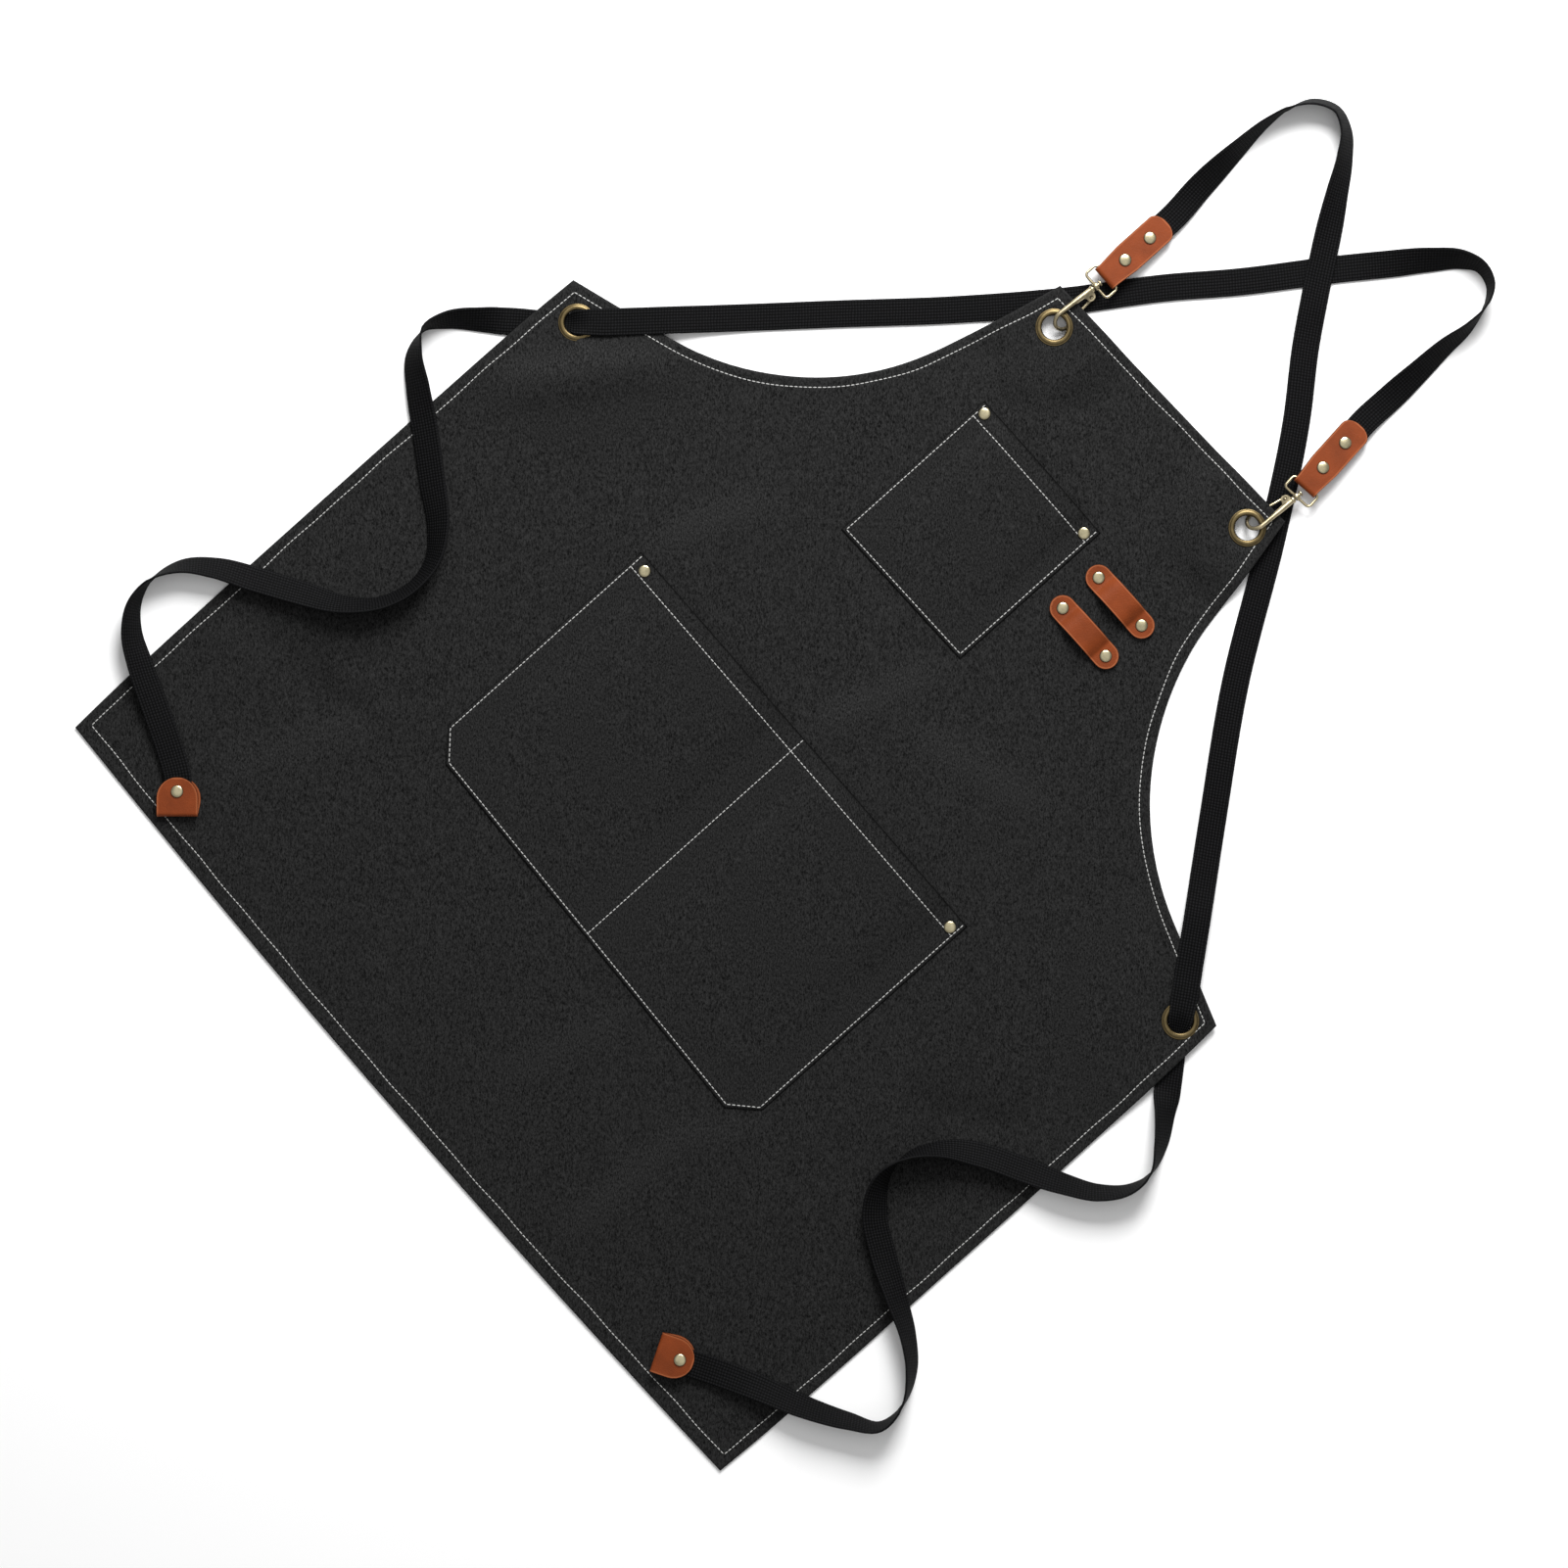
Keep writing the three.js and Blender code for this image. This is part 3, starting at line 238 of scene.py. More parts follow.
def ease(value, low, high):
    """A smooth step from 0 to 1."""
    t = min(1.0, max(0.0, (value - low) / (high - low)))
    return t * t * (3 - 2 * t)


def fading(value, full, low, high):
    """A share that falls smoothly from full to nothing."""
    return full * (1 - ease(value, low, high))


def rolled(inset, depth, reach):
    """How far cloth turns down towards its edge."""
    return -depth * (1 - ease(inset, 0, reach)) ** 2


def dent(off, depth, half):
    """How far cloth or leather is drawn in beside a row of stitches or a rivet."""
    return -depth * exp(-(off / half) ** 2)


WAIST_TURN = atan2(ARMHOLE_CORNER[1] - WAIST_Y, PANEL_HALF - ARMHOLE_CORNER[0])
BIB_TURN = atan2(BIB_Y - ARMHOLE_CORNER[1], ARMHOLE_CORNER[0] - BIB_HALF)
ARMHOLE_TANGENT = ARMHOLE_RADIUS * tan((BIB_TURN - WAIST_TURN) / 2)
ARMHOLE_X = ARMHOLE_CORNER[0] + ARMHOLE_TANGENT * cos(WAIST_TURN) + ARMHOLE_RADIUS * sin(WAIST_TURN)
ARMHOLE_Y = ARMHOLE_CORNER[1] - ARMHOLE_TANGENT * sin(WAIST_TURN) + ARMHOLE_RADIUS * cos(WAIST_TURN)


def panel_half(y, inset):
    """Half the panel's width at a height, in from its edge by an inset."""
    radius = ARMHOLE_RADIUS + inset
    drop = ARMHOLE_Y - y
    if drop > radius * cos(WAIST_TURN):
        x = PANEL_HALF - (inset + cos(WAIST_TURN) * (y - WAIST_Y)) / sin(WAIST_TURN)
    elif drop < radius * cos(BIB_TURN):
        x = BIB_HALF - (inset + cos(BIB_TURN) * (y - BIB_Y)) / sin(BIB_TURN)
    else:
        x = ARMHOLE_X - sqrt(max(0.0, radius ** 2 - drop ** 2))
    return min(PANEL_HALF - inset, x)


def laid(x, y):
    """Where a point of the cloth lies: slightly askew, its hem and sides bowed out and its bib swayed."""
    skew = SKIRT_SKEW + (BIB_SKEW - SKIRT_SKEW) * ease(y, WAIST_Y, BIB_Y)
    bow = HEM_BOW["ends"] + HEM_BOW["middle"] * (1 - (x / PANEL_HALF) ** 2) + HEM_BOW["tilt"] * x
    wider = SIDE_BOW * (1 - (2 * y / WAIST_Y - 1) ** 4) if y < WAIST_Y else 0.0
    sway = ease(y, BIB_SWAY["start"], BIB_SWAY["full"]) - ease(y, BIB_SWAY["fade"], BIB_SWAY["end"])
    low = 1 - ease(y, 0, HEM_BOW["reach"])
    return x * (1 + wider / PANEL_HALF) + BIB_SWAY["by"] * sway, y + x * skew - bow * low


def cloth_lift(x, y):
    """How far the cloth is held off the ground by the grommets, hooks and straps under it."""
    lift = 0.0
    for gx, gy, high, flat, reach, _ in GROMMETS:
        lift = max(lift, high * (1 - ease(hypot(x - gx, y - gy), flat, reach)))
    return lift


def creased(x, y):
    """Height of the creases that folding left in the cloth."""
    height = 0.0
    out, back = CREASE_ENDS
    for x0, y0, x1, y1, high, half in CREASES:
        run = hypot(x1 - x0, y1 - y0)
        ahead = ((x - x0) * (x1 - x0) + (y - y0) * (y1 - y0)) / run
        off = ((x - x0) * (y1 - y0) - (y - y0) * (x1 - x0)) / run
        if abs(off) < 3 * half and -out < ahead < run + out:
            fade = ease(ahead, -out, back) * (1 - ease(ahead, run - back, run + out))
            height += high * exp(-(off / half) ** 2) * fade
    return height


def ripple(x, y):
    """The slight unevenness of cloth that has been folded and spread out."""
    (long, drift, stray), (tall, slow, sway) = RIPPLES
    wave = sin(x / long + stray * sin(y / drift)) * sin(y / tall + sway * sin(x / slow))
    return sizes().ripple / MM * wave + max(CREASE_DEPTH, creased(x, y))


def cloth_face(x, y, inset):
    """Height of the panel's face: a rolled edge, the doubled hem with its stitches, and the single cloth."""
    relief = rolled(inset, *PANEL_ROLL) + dent(inset - SIDE_STITCH, *PANEL_ROW)
    single = -BODY_DROP * ease(inset, HEM + BODY_STEP[0], HEM + BODY_STEP[1])
    return cloth_lift(x, y) + CLOTH_TOP + relief + single + ripple(x, y)


# Mesh helpers

def start(*layers):
    """A new mesh with layers of numbers on its points."""
    bm = bmesh.new()
    return (bm, *[bm.verts.layers.float.new(name) for name in layers])


def spread(first, *spans):
    """Values from the first on, along spans of (end, count)."""
    values = [first]
    for end, count in spans:
        low = values[-1]
        values += [low + (end - low) * i / count for i in range(1, count + 1)]
    return values


def both_ways(shares):
    """Shares of a half width, given from the edge to the middle, on both sides."""
    return [-s for s in shares] + [s for s in reversed(shares) if s]


def grid(bm, columns, rows, place):
    """A grid whose points are put by column and row value."""
    made = bmesh.ops.create_grid(bm, x_segments=len(columns) - 1, y_segments=len(rows) - 1, size=0.5)
    for vert in made["verts"]:
        i = round((vert.co.x + 0.5) * (len(columns) - 1))
        j = round((vert.co.y + 0.5) * (len(rows) - 1))
        place(vert, columns[i], rows[j])


def lathe(bm, profile, steps, place):
    """A turned shape about the local Z of a matrix, in millimetres, from (radius, height) points."""
    closed = profile[0] == profile[-1]
    before = set(bm.verts)
    verts = [bm.verts.new((r, 0, z)) for r, z in (profile[:-1] if closed else profile)]
    edges = [bm.edges.new(pair) for pair in zip(verts, verts[1:] + verts[:closed])]
    bmesh.ops.spin(bm, geom=verts + edges, cent=(0, 0, 0), axis=UP, angle=2 * pi, steps=steps, use_merge=True)
    bmesh.ops.remove_doubles(bm, verts=[v for v in bm.verts if v not in before], dist=1e-4)
    made = [v for v in bm.verts if v not in before]
    bmesh.ops.recalc_face_normals(bm, faces=list({f for v in made for f in v.link_faces}))
    radii = {v: hypot(v.co.x, v.co.y) for v in made}
    for vert in made:
        vert.co = place @ vert.co
    return radii


def sweep(bm, stations, sides, closed=False):
    """A rod through elliptical rings: each station is centre, two axes and two half sizes."""
    loops = []
    for centre, u, v, ru, rv in stations:
        turn = Matrix((u * ru, v * rv, u.cross(v))).transposed().to_4x4()
        made = bmesh.ops.create_circle(bm, segments=sides, radius=1, matrix=Matrix.Translation(centre) @ turn)
        loops.append(list({e for vert in made["verts"] for e in vert.link_edges}))
    pairs = list(zip(loops, loops[1:])) + ([(loops[-1], loops[0])] if closed else [])
    for a, b in pairs:
        bmesh.ops.bridge_loops(bm, edges=a + b)
    if not closed:
        for loop in (loops[0], loops[-1]):
            bmesh.ops.edgeloop_fill(bm, edges=loop)
    bmesh.ops.recalc_face_normals(bm, faces=list({f for loop in loops for e in loop for f in e.link_faces}))


def plate(bm, outline, low, thick, soften):
    """A flat plate of an outline, with softened edges."""
    before = set(bm.faces)
    sheet = bm.faces.new([bm.verts.new((a, b, low)) for a, b in outline])
    raised = bmesh.ops.extrude_face_region(bm, geom=[sheet])["geom"]
    bmesh.ops.translate(bm, verts=[v for v in raised if isinstance(v, bmesh.types.BMVert)], vec=(0, 0, thick))
    faces = [f for f in bm.faces if f not in before]
    bmesh.ops.recalc_face_normals(bm, faces=faces)
    rims = [f for f in faces if len(f.verts) == len(outline)]
    bmesh.ops.bevel(bm, geom=list({e for f in rims for e in f.edges}), offset=soften, segments=2, profile=0.5,
                    affect="EDGES", clamp_overlap=True, material=-1)


def shade_sides_and_undersides(bm, edge, share):
    """Painted shade on brass: darker on its sides and underneath, by which way each point faces, and left
    bright where it faces up.
    """
    bm.normal_update()
    for vert in bm.verts:
        vert[edge] = max(vert[edge], share * (1 - ease(vert.normal.z, -0.1, 0.7)))


def to_frame(bm, place=Matrix()):
    """Puts a shape made in millimetres at its place on the apron."""
    for vert in bm.verts:
        vert.co = point(*(place @ vert.co))


def stand(name, data):
    """An object of the scene that holds a mesh, a light or a camera."""
    made = bpy.data.objects.new(name, data)
    bpy.context.scene.collection.objects.link(made)
    return made


def mesh_of(name, bm, finish_name):
    """An object with a finished mesh and its material."""
    mesh = bpy.data.meshes.new(name)
    bm.to_mesh(mesh)
    bm.free()
    mesh.materials.append(finish(finish_name))
    return stand(name, mesh)


def piece(name, bm, finish_name, body, slot, *nodes, sharp=None):
    """A finished piece: mesh, material, the body that it rides on and the solids that it stands for."""
    made = mesh_of(name, bm, finish_name)
    made.data.polygons.foreach_set("use_smooth", [True] * len(made.data.polygons))
    if sharp:
        made.data.set_sharp_from_angle(angle=radians(sharp))
    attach(made, body)
    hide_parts(*nodes)
    return made


def thicken(made, thick, offset, group=None):
    """A wall on a surface, half as thick where a group of points has no weight."""
    wall = made.modifiers.new("wall", "SOLIDIFY")
    wall.thickness = thick
    wall.offset = offset
    wall.use_even_offset = True
    if group:
        wall.vertex_group = group
        wall.thickness_vertex_group = 0.5


def round_edges(made, width):
    """Rounded edges on cut leather."""
    edge = made.modifiers.new("edges", "BEVEL")
    edge.width = width
    edge.segments = 3
    edge.limit_method = "ANGLE"
    edge.angle_limit = radians(40)


# Materials

def colours():
    return bpy.context.scene.apron_colours


def shade(colour, by):
    """A colour made darker or lighter."""
    return tuple(min(1.0, c * by) for c in colour)


class Finish:
    """A procedural material in the making: its nodes, its shader and the place on the object."""

    def __init__(self, name, constants):
        self.material = bpy.data.materials.new(name)
        self.material.use_nodes = True
        self.tree = self.material.node_tree
        self.shader = self.tree.nodes["Principled BSDF"]
        for key, value in constants.items():
            self.give(key, value)
        self.where = self.node("TexCoord").outputs["Object"]

    def feed(self, socket, value):
        """Links a socket, or sets its value."""
        if isinstance(value, bpy.types.NodeSocket):
            self.tree.links.new(value, socket)
        else:
            socket.default_value = value

    def give(self, key, value):
        """Feeds one of the shader's own sockets."""
        self.feed(self.shader.inputs[key], value)

    def node(self, kind, values=(), **settings):
        made = self.tree.nodes.new("ShaderNode" + kind)
        for key, value in settings.items():
            setattr(made, key, value)
        for key, value in dict(values).items():
            self.feed(made.inputs[key], value)
        return made

    def maths(self, how, a, b=0.0):
        return self.node("Math", {0: a, 1: b}, operation=how).outputs[0]

    def plus(self, a, b):
        return self.maths("ADD", a, b)

    def minus(self, a, b):
        return self.maths("SUBTRACT", a, b)

    def times(self, a, b):
        return self.maths("MULTIPLY", a, b)

    def layer(self, name):
        """Numbers that the mesh carries on its points."""
        return self.node("Attribute", attribute_name=name).outputs["Fac"]

    def noise(self, scale, grain=(1, 1, 1), detail=2.0, rough=0.5, turn=0.0):
        """Noise whose grains have a length, width and height, turned about the vertical."""
        grains = {"Vector": self.where, "Scale": grain, "Rotation": (0, 0, radians(turn))}
        placed = self.node("Mapping", grains, vector_type="TEXTURE")
        values = {"Vector": placed.outputs[0], "Scale": scale, "Detail": detail, "Roughness": rough}
        return self.node("TexNoise", values).outputs["Fac"]

    def wave(self, way, scale, distortion, detail=2.0):
        """Even bands along a direction."""
        values = {"Vector": self.where, "Scale": scale, "Distortion": distortion, "Detail": detail}
        return self.node("TexWave", values, wave_type="BANDS", bands_direction=way).outputs["Fac"]

    def ramp(self, value, low, high, start_at=0.3, end_at=0.7):
        """A colour between two by a value."""
        made = self.node("ValToRGB", {"Fac": value})
        for stop, spot, tone in zip(made.color_ramp.elements, (start_at, end_at), (low, high)):
            stop.position = spot
            stop.color = (*tone, 1)
        return made.outputs["Color"]

    def blend(self, share, under, over):
        """A plain colour laid over another by a share."""
        values = {"Factor": share, 6: under, 7: (*over, 1)}
        return self.node("Mix", values, data_type="RGBA", blend_type="MIX").outputs[2]

    def gloss(self, value, low, high):
        """Roughness between two by a value."""
        made = self.node("MapRange", {"Value": value, "To Min": low, "To Max": high})
        self.give("Roughness", made.outputs[0])

    def bump(self, height, strength, distance):
        made = self.node("Bump", {"Height": height, "Strength": strength, "Distance": distance})
        self.give("Normal", made.outputs[0])


def canvas_finish(cloth):
    """Heathered canvas: warp, weft and twill yarns, faded in clouds, paler at its edges, and scaled by a tone
    layer of painted light and shade: lighter on crease ridges, darker in crease valleys and at pocket edges
    and mouths.
    """
    colour = colours().canvas
    warp = cloth.noise(1.0, (0.0008, 0.0016, 0.003), 1.0)
    weft = cloth.noise(1.0, (0.0016, 0.0008, 0.003), 1.0)
    twill = cloth.noise(1.0, (0.0022, 0.0008, 0.003), 1.0, turn=-TWILL_TURN)
    plain = cloth.times(cloth.plus(warp, weft), 0.25)
    yarn = cloth.plus(plain, cloth.times(twill, 0.5))
    heather = cloth.ramp(yarn, shade(colour, 0.05), shade(colour, 2.65), 0.36, 0.66)
    clouds = cloth.noise(9.0, detail=3.0)
    faded = cloth.blend(cloth.times(clouds, 0.25), heather, shade(colour, 1.25))
    # Paler near the panel's edges
    worn = cloth.blend(cloth.times(cloth.layer("edge"), 0.35), faded, shade(colour, 1.9))
    # The tone layer scales the colour: painted light and shade of the creases, and painted shade at pocket
    # edges and mouths
    light = cloth.plus(cloth.layer("tone"), 1.0)
    toned = cloth.node("VectorMath", {"Vector": worn, "Scale": light}, operation="SCALE")
    cloth.give("Base Color", toned.outputs["Vector"])
    weave = cloth.times(*[cloth.wave(way, 420.0, 1.2, 1.0) for way in "XY"])
    cloth.bump(cloth.plus(weave, cloth.times(yarn, 1.2)), 0.35, 0.0005)


def webbing_finish(web):
    """Ribs along the strap with leaning picks across them, fuzz, and a painted highlight along both
    selvedges.
    """
    colour = colours().webbing
    run = web.node("SeparateXYZ", {"Vector": web.node("UVMap", uv_map="run").outputs[0]})
    along, across = run.outputs["X"], run.outputs["Y"]
    drift = web.times(web.noise(170.0), 0.0013)
    leaning = web.plus(web.plus(along, drift), web.times(across, WEBBING_SLANT))
    ribs = web.maths("ABSOLUTE", web.maths("SINE", web.times(across, WEBBING_RIBS * pi)))
    picks = web.maths("SINE", web.times(leaning, 2 * pi / WEBBING_PICK))
    cord = web.times(ribs, web.plus(0.66, web.times(picks, 0.34)))
    fuzz = web.noise(600.0)
    body = web.ramp(web.times(cord, web.plus(fuzz, 0.5)), shade(colour, 0.2), shade(colour, 3.5), 0.1, 0.95)
    from_middle = web.maths("ABSOLUTE", web.minus(web.times(across, 2.0), 1.0))
    # Painted highlight: both selvedges paler, as if lit
    selvedge_highlight = web.times(web.maths("POWER", from_middle, 30.0), 0.5)
    web.give("Base Color", web.blend(selvedge_highlight, body, shade(colour, 4.0)))
    web.bump(web.plus(cord, web.times(fuzz, 0.4)), 0.6, 0.0004)


def leather_finish(hide):
    """Smooth leather: grain and pores, a pale line near its edges that is burnished edge and painted
    highlight, and painted shade on its cut walls.
    """
    colour = colours().leather
    cells = hide.node("TexVoronoi", {"Vector": hide.where, "Scale": 900.0}).outputs["Distance"]
    pores = hide.noise(1500.0, detail=3.0)
    cloud = hide.noise(70.0, detail=3.0)
    body = hide.ramp(cloud, shade(colour, 0.8), shade(colour, 1.15), 0.3, 0.75)
    grained = hide.blend(hide.times(hide.minus(1.0, cells), 0.18), body, shade(colour, 0.55))
    edge = hide.layer("edge")
    # Pale line near the edges: burnished edge and painted highlight
    near_edge = hide.times(hide.times(edge, hide.minus(1.0, edge)), 2.1)
    burnished = hide.blend(near_edge, grained, colours().leather_edge_and_highlight)
    # Painted shade on the cut walls
    wall = hide.times(hide.maths("POWER", edge, 5.0), 0.85)
    hide.give("Base Color", hide.blend(wall, burnished, shade(colour, 0.2)))
    hide.gloss(pores, 0.4, 0.62)
    hide.bump(hide.plus(cells, hide.times(pores, 0.8)), 0.25, 0.0003)


def brass_finish(metal, colour_name, rough):
    """Brass with cloudy tarnish and scuffs, and painted shade in a dark tarnish colour where its edge layer
    says so.
    """
    colour = getattr(colours(), colour_name)
    tarnish = metal.noise(180.0, detail=4.0, rough=0.6)
    body = metal.ramp(tarnish, shade(colour, 0.72), shade(colour, 1.12), 0.32, 0.68)
    # Painted shade: the edge layer lays the dark brass colour on sides, undersides, bores, grooves and rims
    metal.give("Base Color", metal.blend(metal.layer("edge"), body, colours().brass_tarnish_and_shade))
    scuff = metal.noise(900.0)
    worn = metal.plus(metal.times(tarnish, 0.6), metal.times(scuff, 0.4))
    metal.gloss(worn, rough - 0.1, rough + 0.14)
    metal.bump(worn, 0.08, 0.0002)


def thread_finish(thread):
    """Twisted white thread."""
    colour = colours().thread
    twist = thread.wave("DIAGONAL", 500.0, 0.5)
    thread.give("Base Color", thread.ramp(twist, shade(colour, 0.7), colour, 0.2, 0.8))
    thread.bump(twist, 0.3, 0.0002)


def floor_finish(floor):
    """A pale floor, very slightly clouded."""
    colour = colours().floor
    floor.give("Base Color", floor.ramp(floor.noise(3.0), shade(colour, 0.995), colour))


# Finishes: the function that makes each, its shader's constant values, and a brass's colour and roughness
FINISHES = {
    "charcoal canvas": (canvas_finish, {"Roughness": 0.95, "Specular IOR Level": 0.08}),
    "black webbing": (webbing_finish, {"Roughness": 0.7, "Specular IOR Level": 0.05}),
    "tan leather": (leather_finish, {"Specular IOR Level": 0.13}),
    "antique brass": (brass_finish, {"Metallic": 1.0}, "brass", 0.36),
    "hook brass": (brass_finish, {"Metallic": 1.0}, "hook", 0.3),
    "pale brass": (brass_finish, {"Metallic": 1.0}, "rivet", 0.26),
    "white thread": (thread_finish, {"Roughness": 0.75, "Specular IOR Level": 0.2}),
    "pale floor": (floor_finish, {"Roughness": 0.9}),
}


def finish(name):
    """The material of a name, made when a piece first asks for it."""
    if name not in bpy.data.materials:
        make, constants, *more = FINISHES[name]
        make(Finish(name, constants), *more)
    return bpy.data.materials[name]


# Stitches

def run_along(points):
    """Distance from the start at each point of a line."""
    return np.concatenate([[0], np.cumsum(np.linalg.norm(np.diff(points, axis=0), axis=1))])


def resample(points, pitch):
    """Points and headings at a pitch along a line."""
    points = np.array(points, float)
    run = run_along(points)
    count = max(1, int(run[-1] // pitch))
    spots = (np.arange(count) + 0.5) * run[-1] / count

    def pick(at):
        return np.stack([np.interp(at, run, axis) for axis in points.T], axis=1)

    ahead = np.minimum(spots + STITCH_REACH, run[-1])
    behind = np.maximum(spots - STITCH_REACH, 0)
    return pick(spots), pick(ahead) - pick(behind)


def near(spots, reach):
    """A test of whether a point is within reach of any of some spots."""
    def test(x, y):
        return any(hypot(x - spot[0], y - spot[1]) < reach for spot in spots)
    return test


def sew(bm, points, skip):
    """A row of stitches along a line of (x, y, z), each a short bulge of thread sunk in the cloth."""
    long, thick = sizes().stitch / 2, sizes().thread / 2
    row = bmesh.new()
    for (x, y, z), heading in zip(*resample(points, sizes().stitch_pitch / MM)):
        if skip(x, y):
            continue
        along = Vector(heading).normalized()
        side = UP.cross(along).normalized()
        rise = along.cross(side) * thick * STITCH_FLAT
        turn = Matrix((along * long, side * thick, rise)).transposed().to_4x4()
        place = Matrix.Translation(point(x, y, z + STITCH_PROUD)) @ turn @ Matrix.Rotation(pi / 2, 4, "Y")
        bmesh.ops.create_uvsphere(row, u_segments=6, v_segments=4, radius=1, matrix=place)
    sewn = bpy.data.meshes.new("row")
    row.to_mesh(sewn)
    row.free()
    bm.from_mesh(sewn)
    bpy.data.meshes.remove(sewn)


def make_stitches(name, lines, skip):
    """Rows of stitches as one piece."""
    bm = bmesh.new()
    for line in lines:
        sew(bm, line, skip)
    return piece(name, bm, "white thread", APRON, "canvas")


# Cloth pieces

def cut_hole(bm, edge, x, y):
    """Cuts a round hole for a grommet, and draws the cloth's points near it to its rim."""
    middle = point(x, y, 0)

    def away(vert):
        return hypot(vert.co.x - middle.x, vert.co.y - middle.y) / MM

    bmesh.ops.delete(bm, geom=[v for v in bm.verts if away(v) < CLOTH_HOLE], context="VERTS")
    for vert in bm.verts:
        if away(vert) < CLOTH_HOLE + HOLE_REACH and vert.is_boundary and vert[edge] < 0.5:
            out = Vector((vert.co.x - middle.x, vert.co.y - middle.y, 0)).normalized() * CLOTH_HOLE * MM
            vert.co.x, vert.co.y = middle.x + out.x, middle.y + out.y


def make_panel():
    """Bib and skirt in one cut, with a doubled hem and a hole for each grommet."""
    border = PANEL_INSETS[-1]
    half = PANEL_STEPS // 2
    columns = [(-1, i) for i in PANEL_INSETS] + [(0, i / half - 1) for i in range(1, PANEL_STEPS)]
    columns += [(1, i) for i in reversed(PANEL_INSETS)]
    bm, edge, tone = start("edge", "tone")
    doubled = {}

    def place(vert, column, y):
        side, value = column
        inner = panel_half(y, border)
        x = side * panel_half(y, value) if side else value * inner
        side_inset = value if side else border + (1 - abs(value)) * inner
        inset = min(side_inset, y, BIB_Y - y)
        px, py = laid(x, y)
        face = cloth_face(px, py, inset)
        vert.co = point(px, py, face)
        # Paler near the panel's edges
        vert[edge] = 1 - ease(inset, 0, 3)
        # Painted light and shade: lighter on crease ridges, darker in crease valleys
        vert[tone] = CREASE_SHADING * creased(px, py)
        room = (face - cloth_lift(px, py) - GROUND_GAP) / HEM_WALL
        doubled[vert] = round(min(1.0, max(0.0, 2 * room - 1)), 2) if inset < HEM + HEM_BLEND else 0.0

    grid(bm, columns, spread(0, *PANEL_ROWS), place)
    for x, y, *_ in GROMMETS:
        cut_hole(bm, edge, x, y)
    bm.verts.index_update()
    weights = [(v.index, doubled[v]) for v in bm.verts]
    panel = piece("canvas_panel", bm, "charcoal canvas", APRON, "canvas", "apron_panel")
    group = panel.vertex_groups.new(name="doubled")
    for weight in sorted({w for _, w in weights}):
        group.add([i for i, w in weights if w == weight], weight, "REPLACE")
    thicken(panel, HEM_WALL * MM, -1, "doubled")
    return panel


def stray(run):
    """How far a row of stitches wanders off its line."""
    return 0.45 * sin(run / 19) * sin(run / 47 + 1) + 0.2 * sin(run / 7.3)


def make_panel_stitches():
    """Stitches along the foot, sides, armholes and bib of the panel."""
    def face(x, y):
        px, py = laid(x, y)
        return px, py, cloth_face(px, py, SIDE_STITCH)

    foot = PANEL_HALF - SIDE_STITCH
    corner_y, top_y = WAIST_Y - CORNER_STITCH, BIB_Y - ARMHOLE_STITCH
    lines = [[face(x, FOOT_STITCH + stray(x)) for x in np.linspace(-foot, foot, 240)]]
    for side in (-1, 1):
        lines.append([face(side * (foot + stray(y)), y) for y in np.linspace(FOOT_STITCH, corner_y, 180)])
        lines.append([face(side * panel_half(y, ARMHOLE_STITCH + stray(y + 90)), y)
                      for y in np.linspace(corner_y, top_y, 220)])
    top = panel_half(top_y, ARMHOLE_STITCH)
    lines.append([face(x, top_y + stray(x)) for x in np.linspace(-top, top, 90)])
    return make_stitches("hem_stitches", lines, near(GROMMETS, GROMMET_FRONT))


def pocket_point(pocket, share, height):
    """A pocket's point and its distance from its sewn edge."""
    half = pocket["width"] / 2
    reach = half - max(0.0, pocket["chamfer"] - height)
    skew = pocket["low"] + (pocket["high"] - pocket["low"]) * height / pocket["height"]
    inset = min((1 - abs(share)) * reach, height)
    if pocket["chamfer"]:
        inset = min(inset, (half - abs(share * reach) + height - pocket["chamfer"]) / sqrt(2))
    return pocket["x"] + share * reach, pocket["y"] + height + share * reach * skew, max(0.0, inset)


def pocket_face(pocket, share, height):
    """A point of a pocket's face, which gapes towards the mouth between its sewn lines."""
    x, y, inset = pocket_point(pocket, share, height)
    room = (share + 1) * pocket["rooms"] % 2 - 1 if share < 1 else 1.0
    open_share = max(0.0, 1 - (min(1.0, abs(room) / POCKET_SEAM_SHARE)) ** 4)
    from_mouth = pocket["height"] - height
    relief = rolled(inset, *POCKET_ROLL) + rolled(from_mouth, *MOUTH_ROLL)
    relief += dent(inset - POCKET_STITCH, *POCKET_ROW) + dent(from_mouth - MOUTH_BAND, *MOUTH_ROW)
    if pocket["rooms"] > 1:
        relief += dent(share * pocket["width"] / 2, *SEAM_ROW)
    relief += MOUTH_FOLD * (1 - ease(from_mouth, MOUTH_BAND - 0.5, MOUTH_BAND + 1.5))
    seat = cloth_lift(x, y) + CLOTH_TOP - BODY_DROP + ripple(x, y) + POCKET_CLOTH + POCKET_EASE
    return x, y, seat + POCKET_GAPE * open_share * height / pocket["height"] + relief


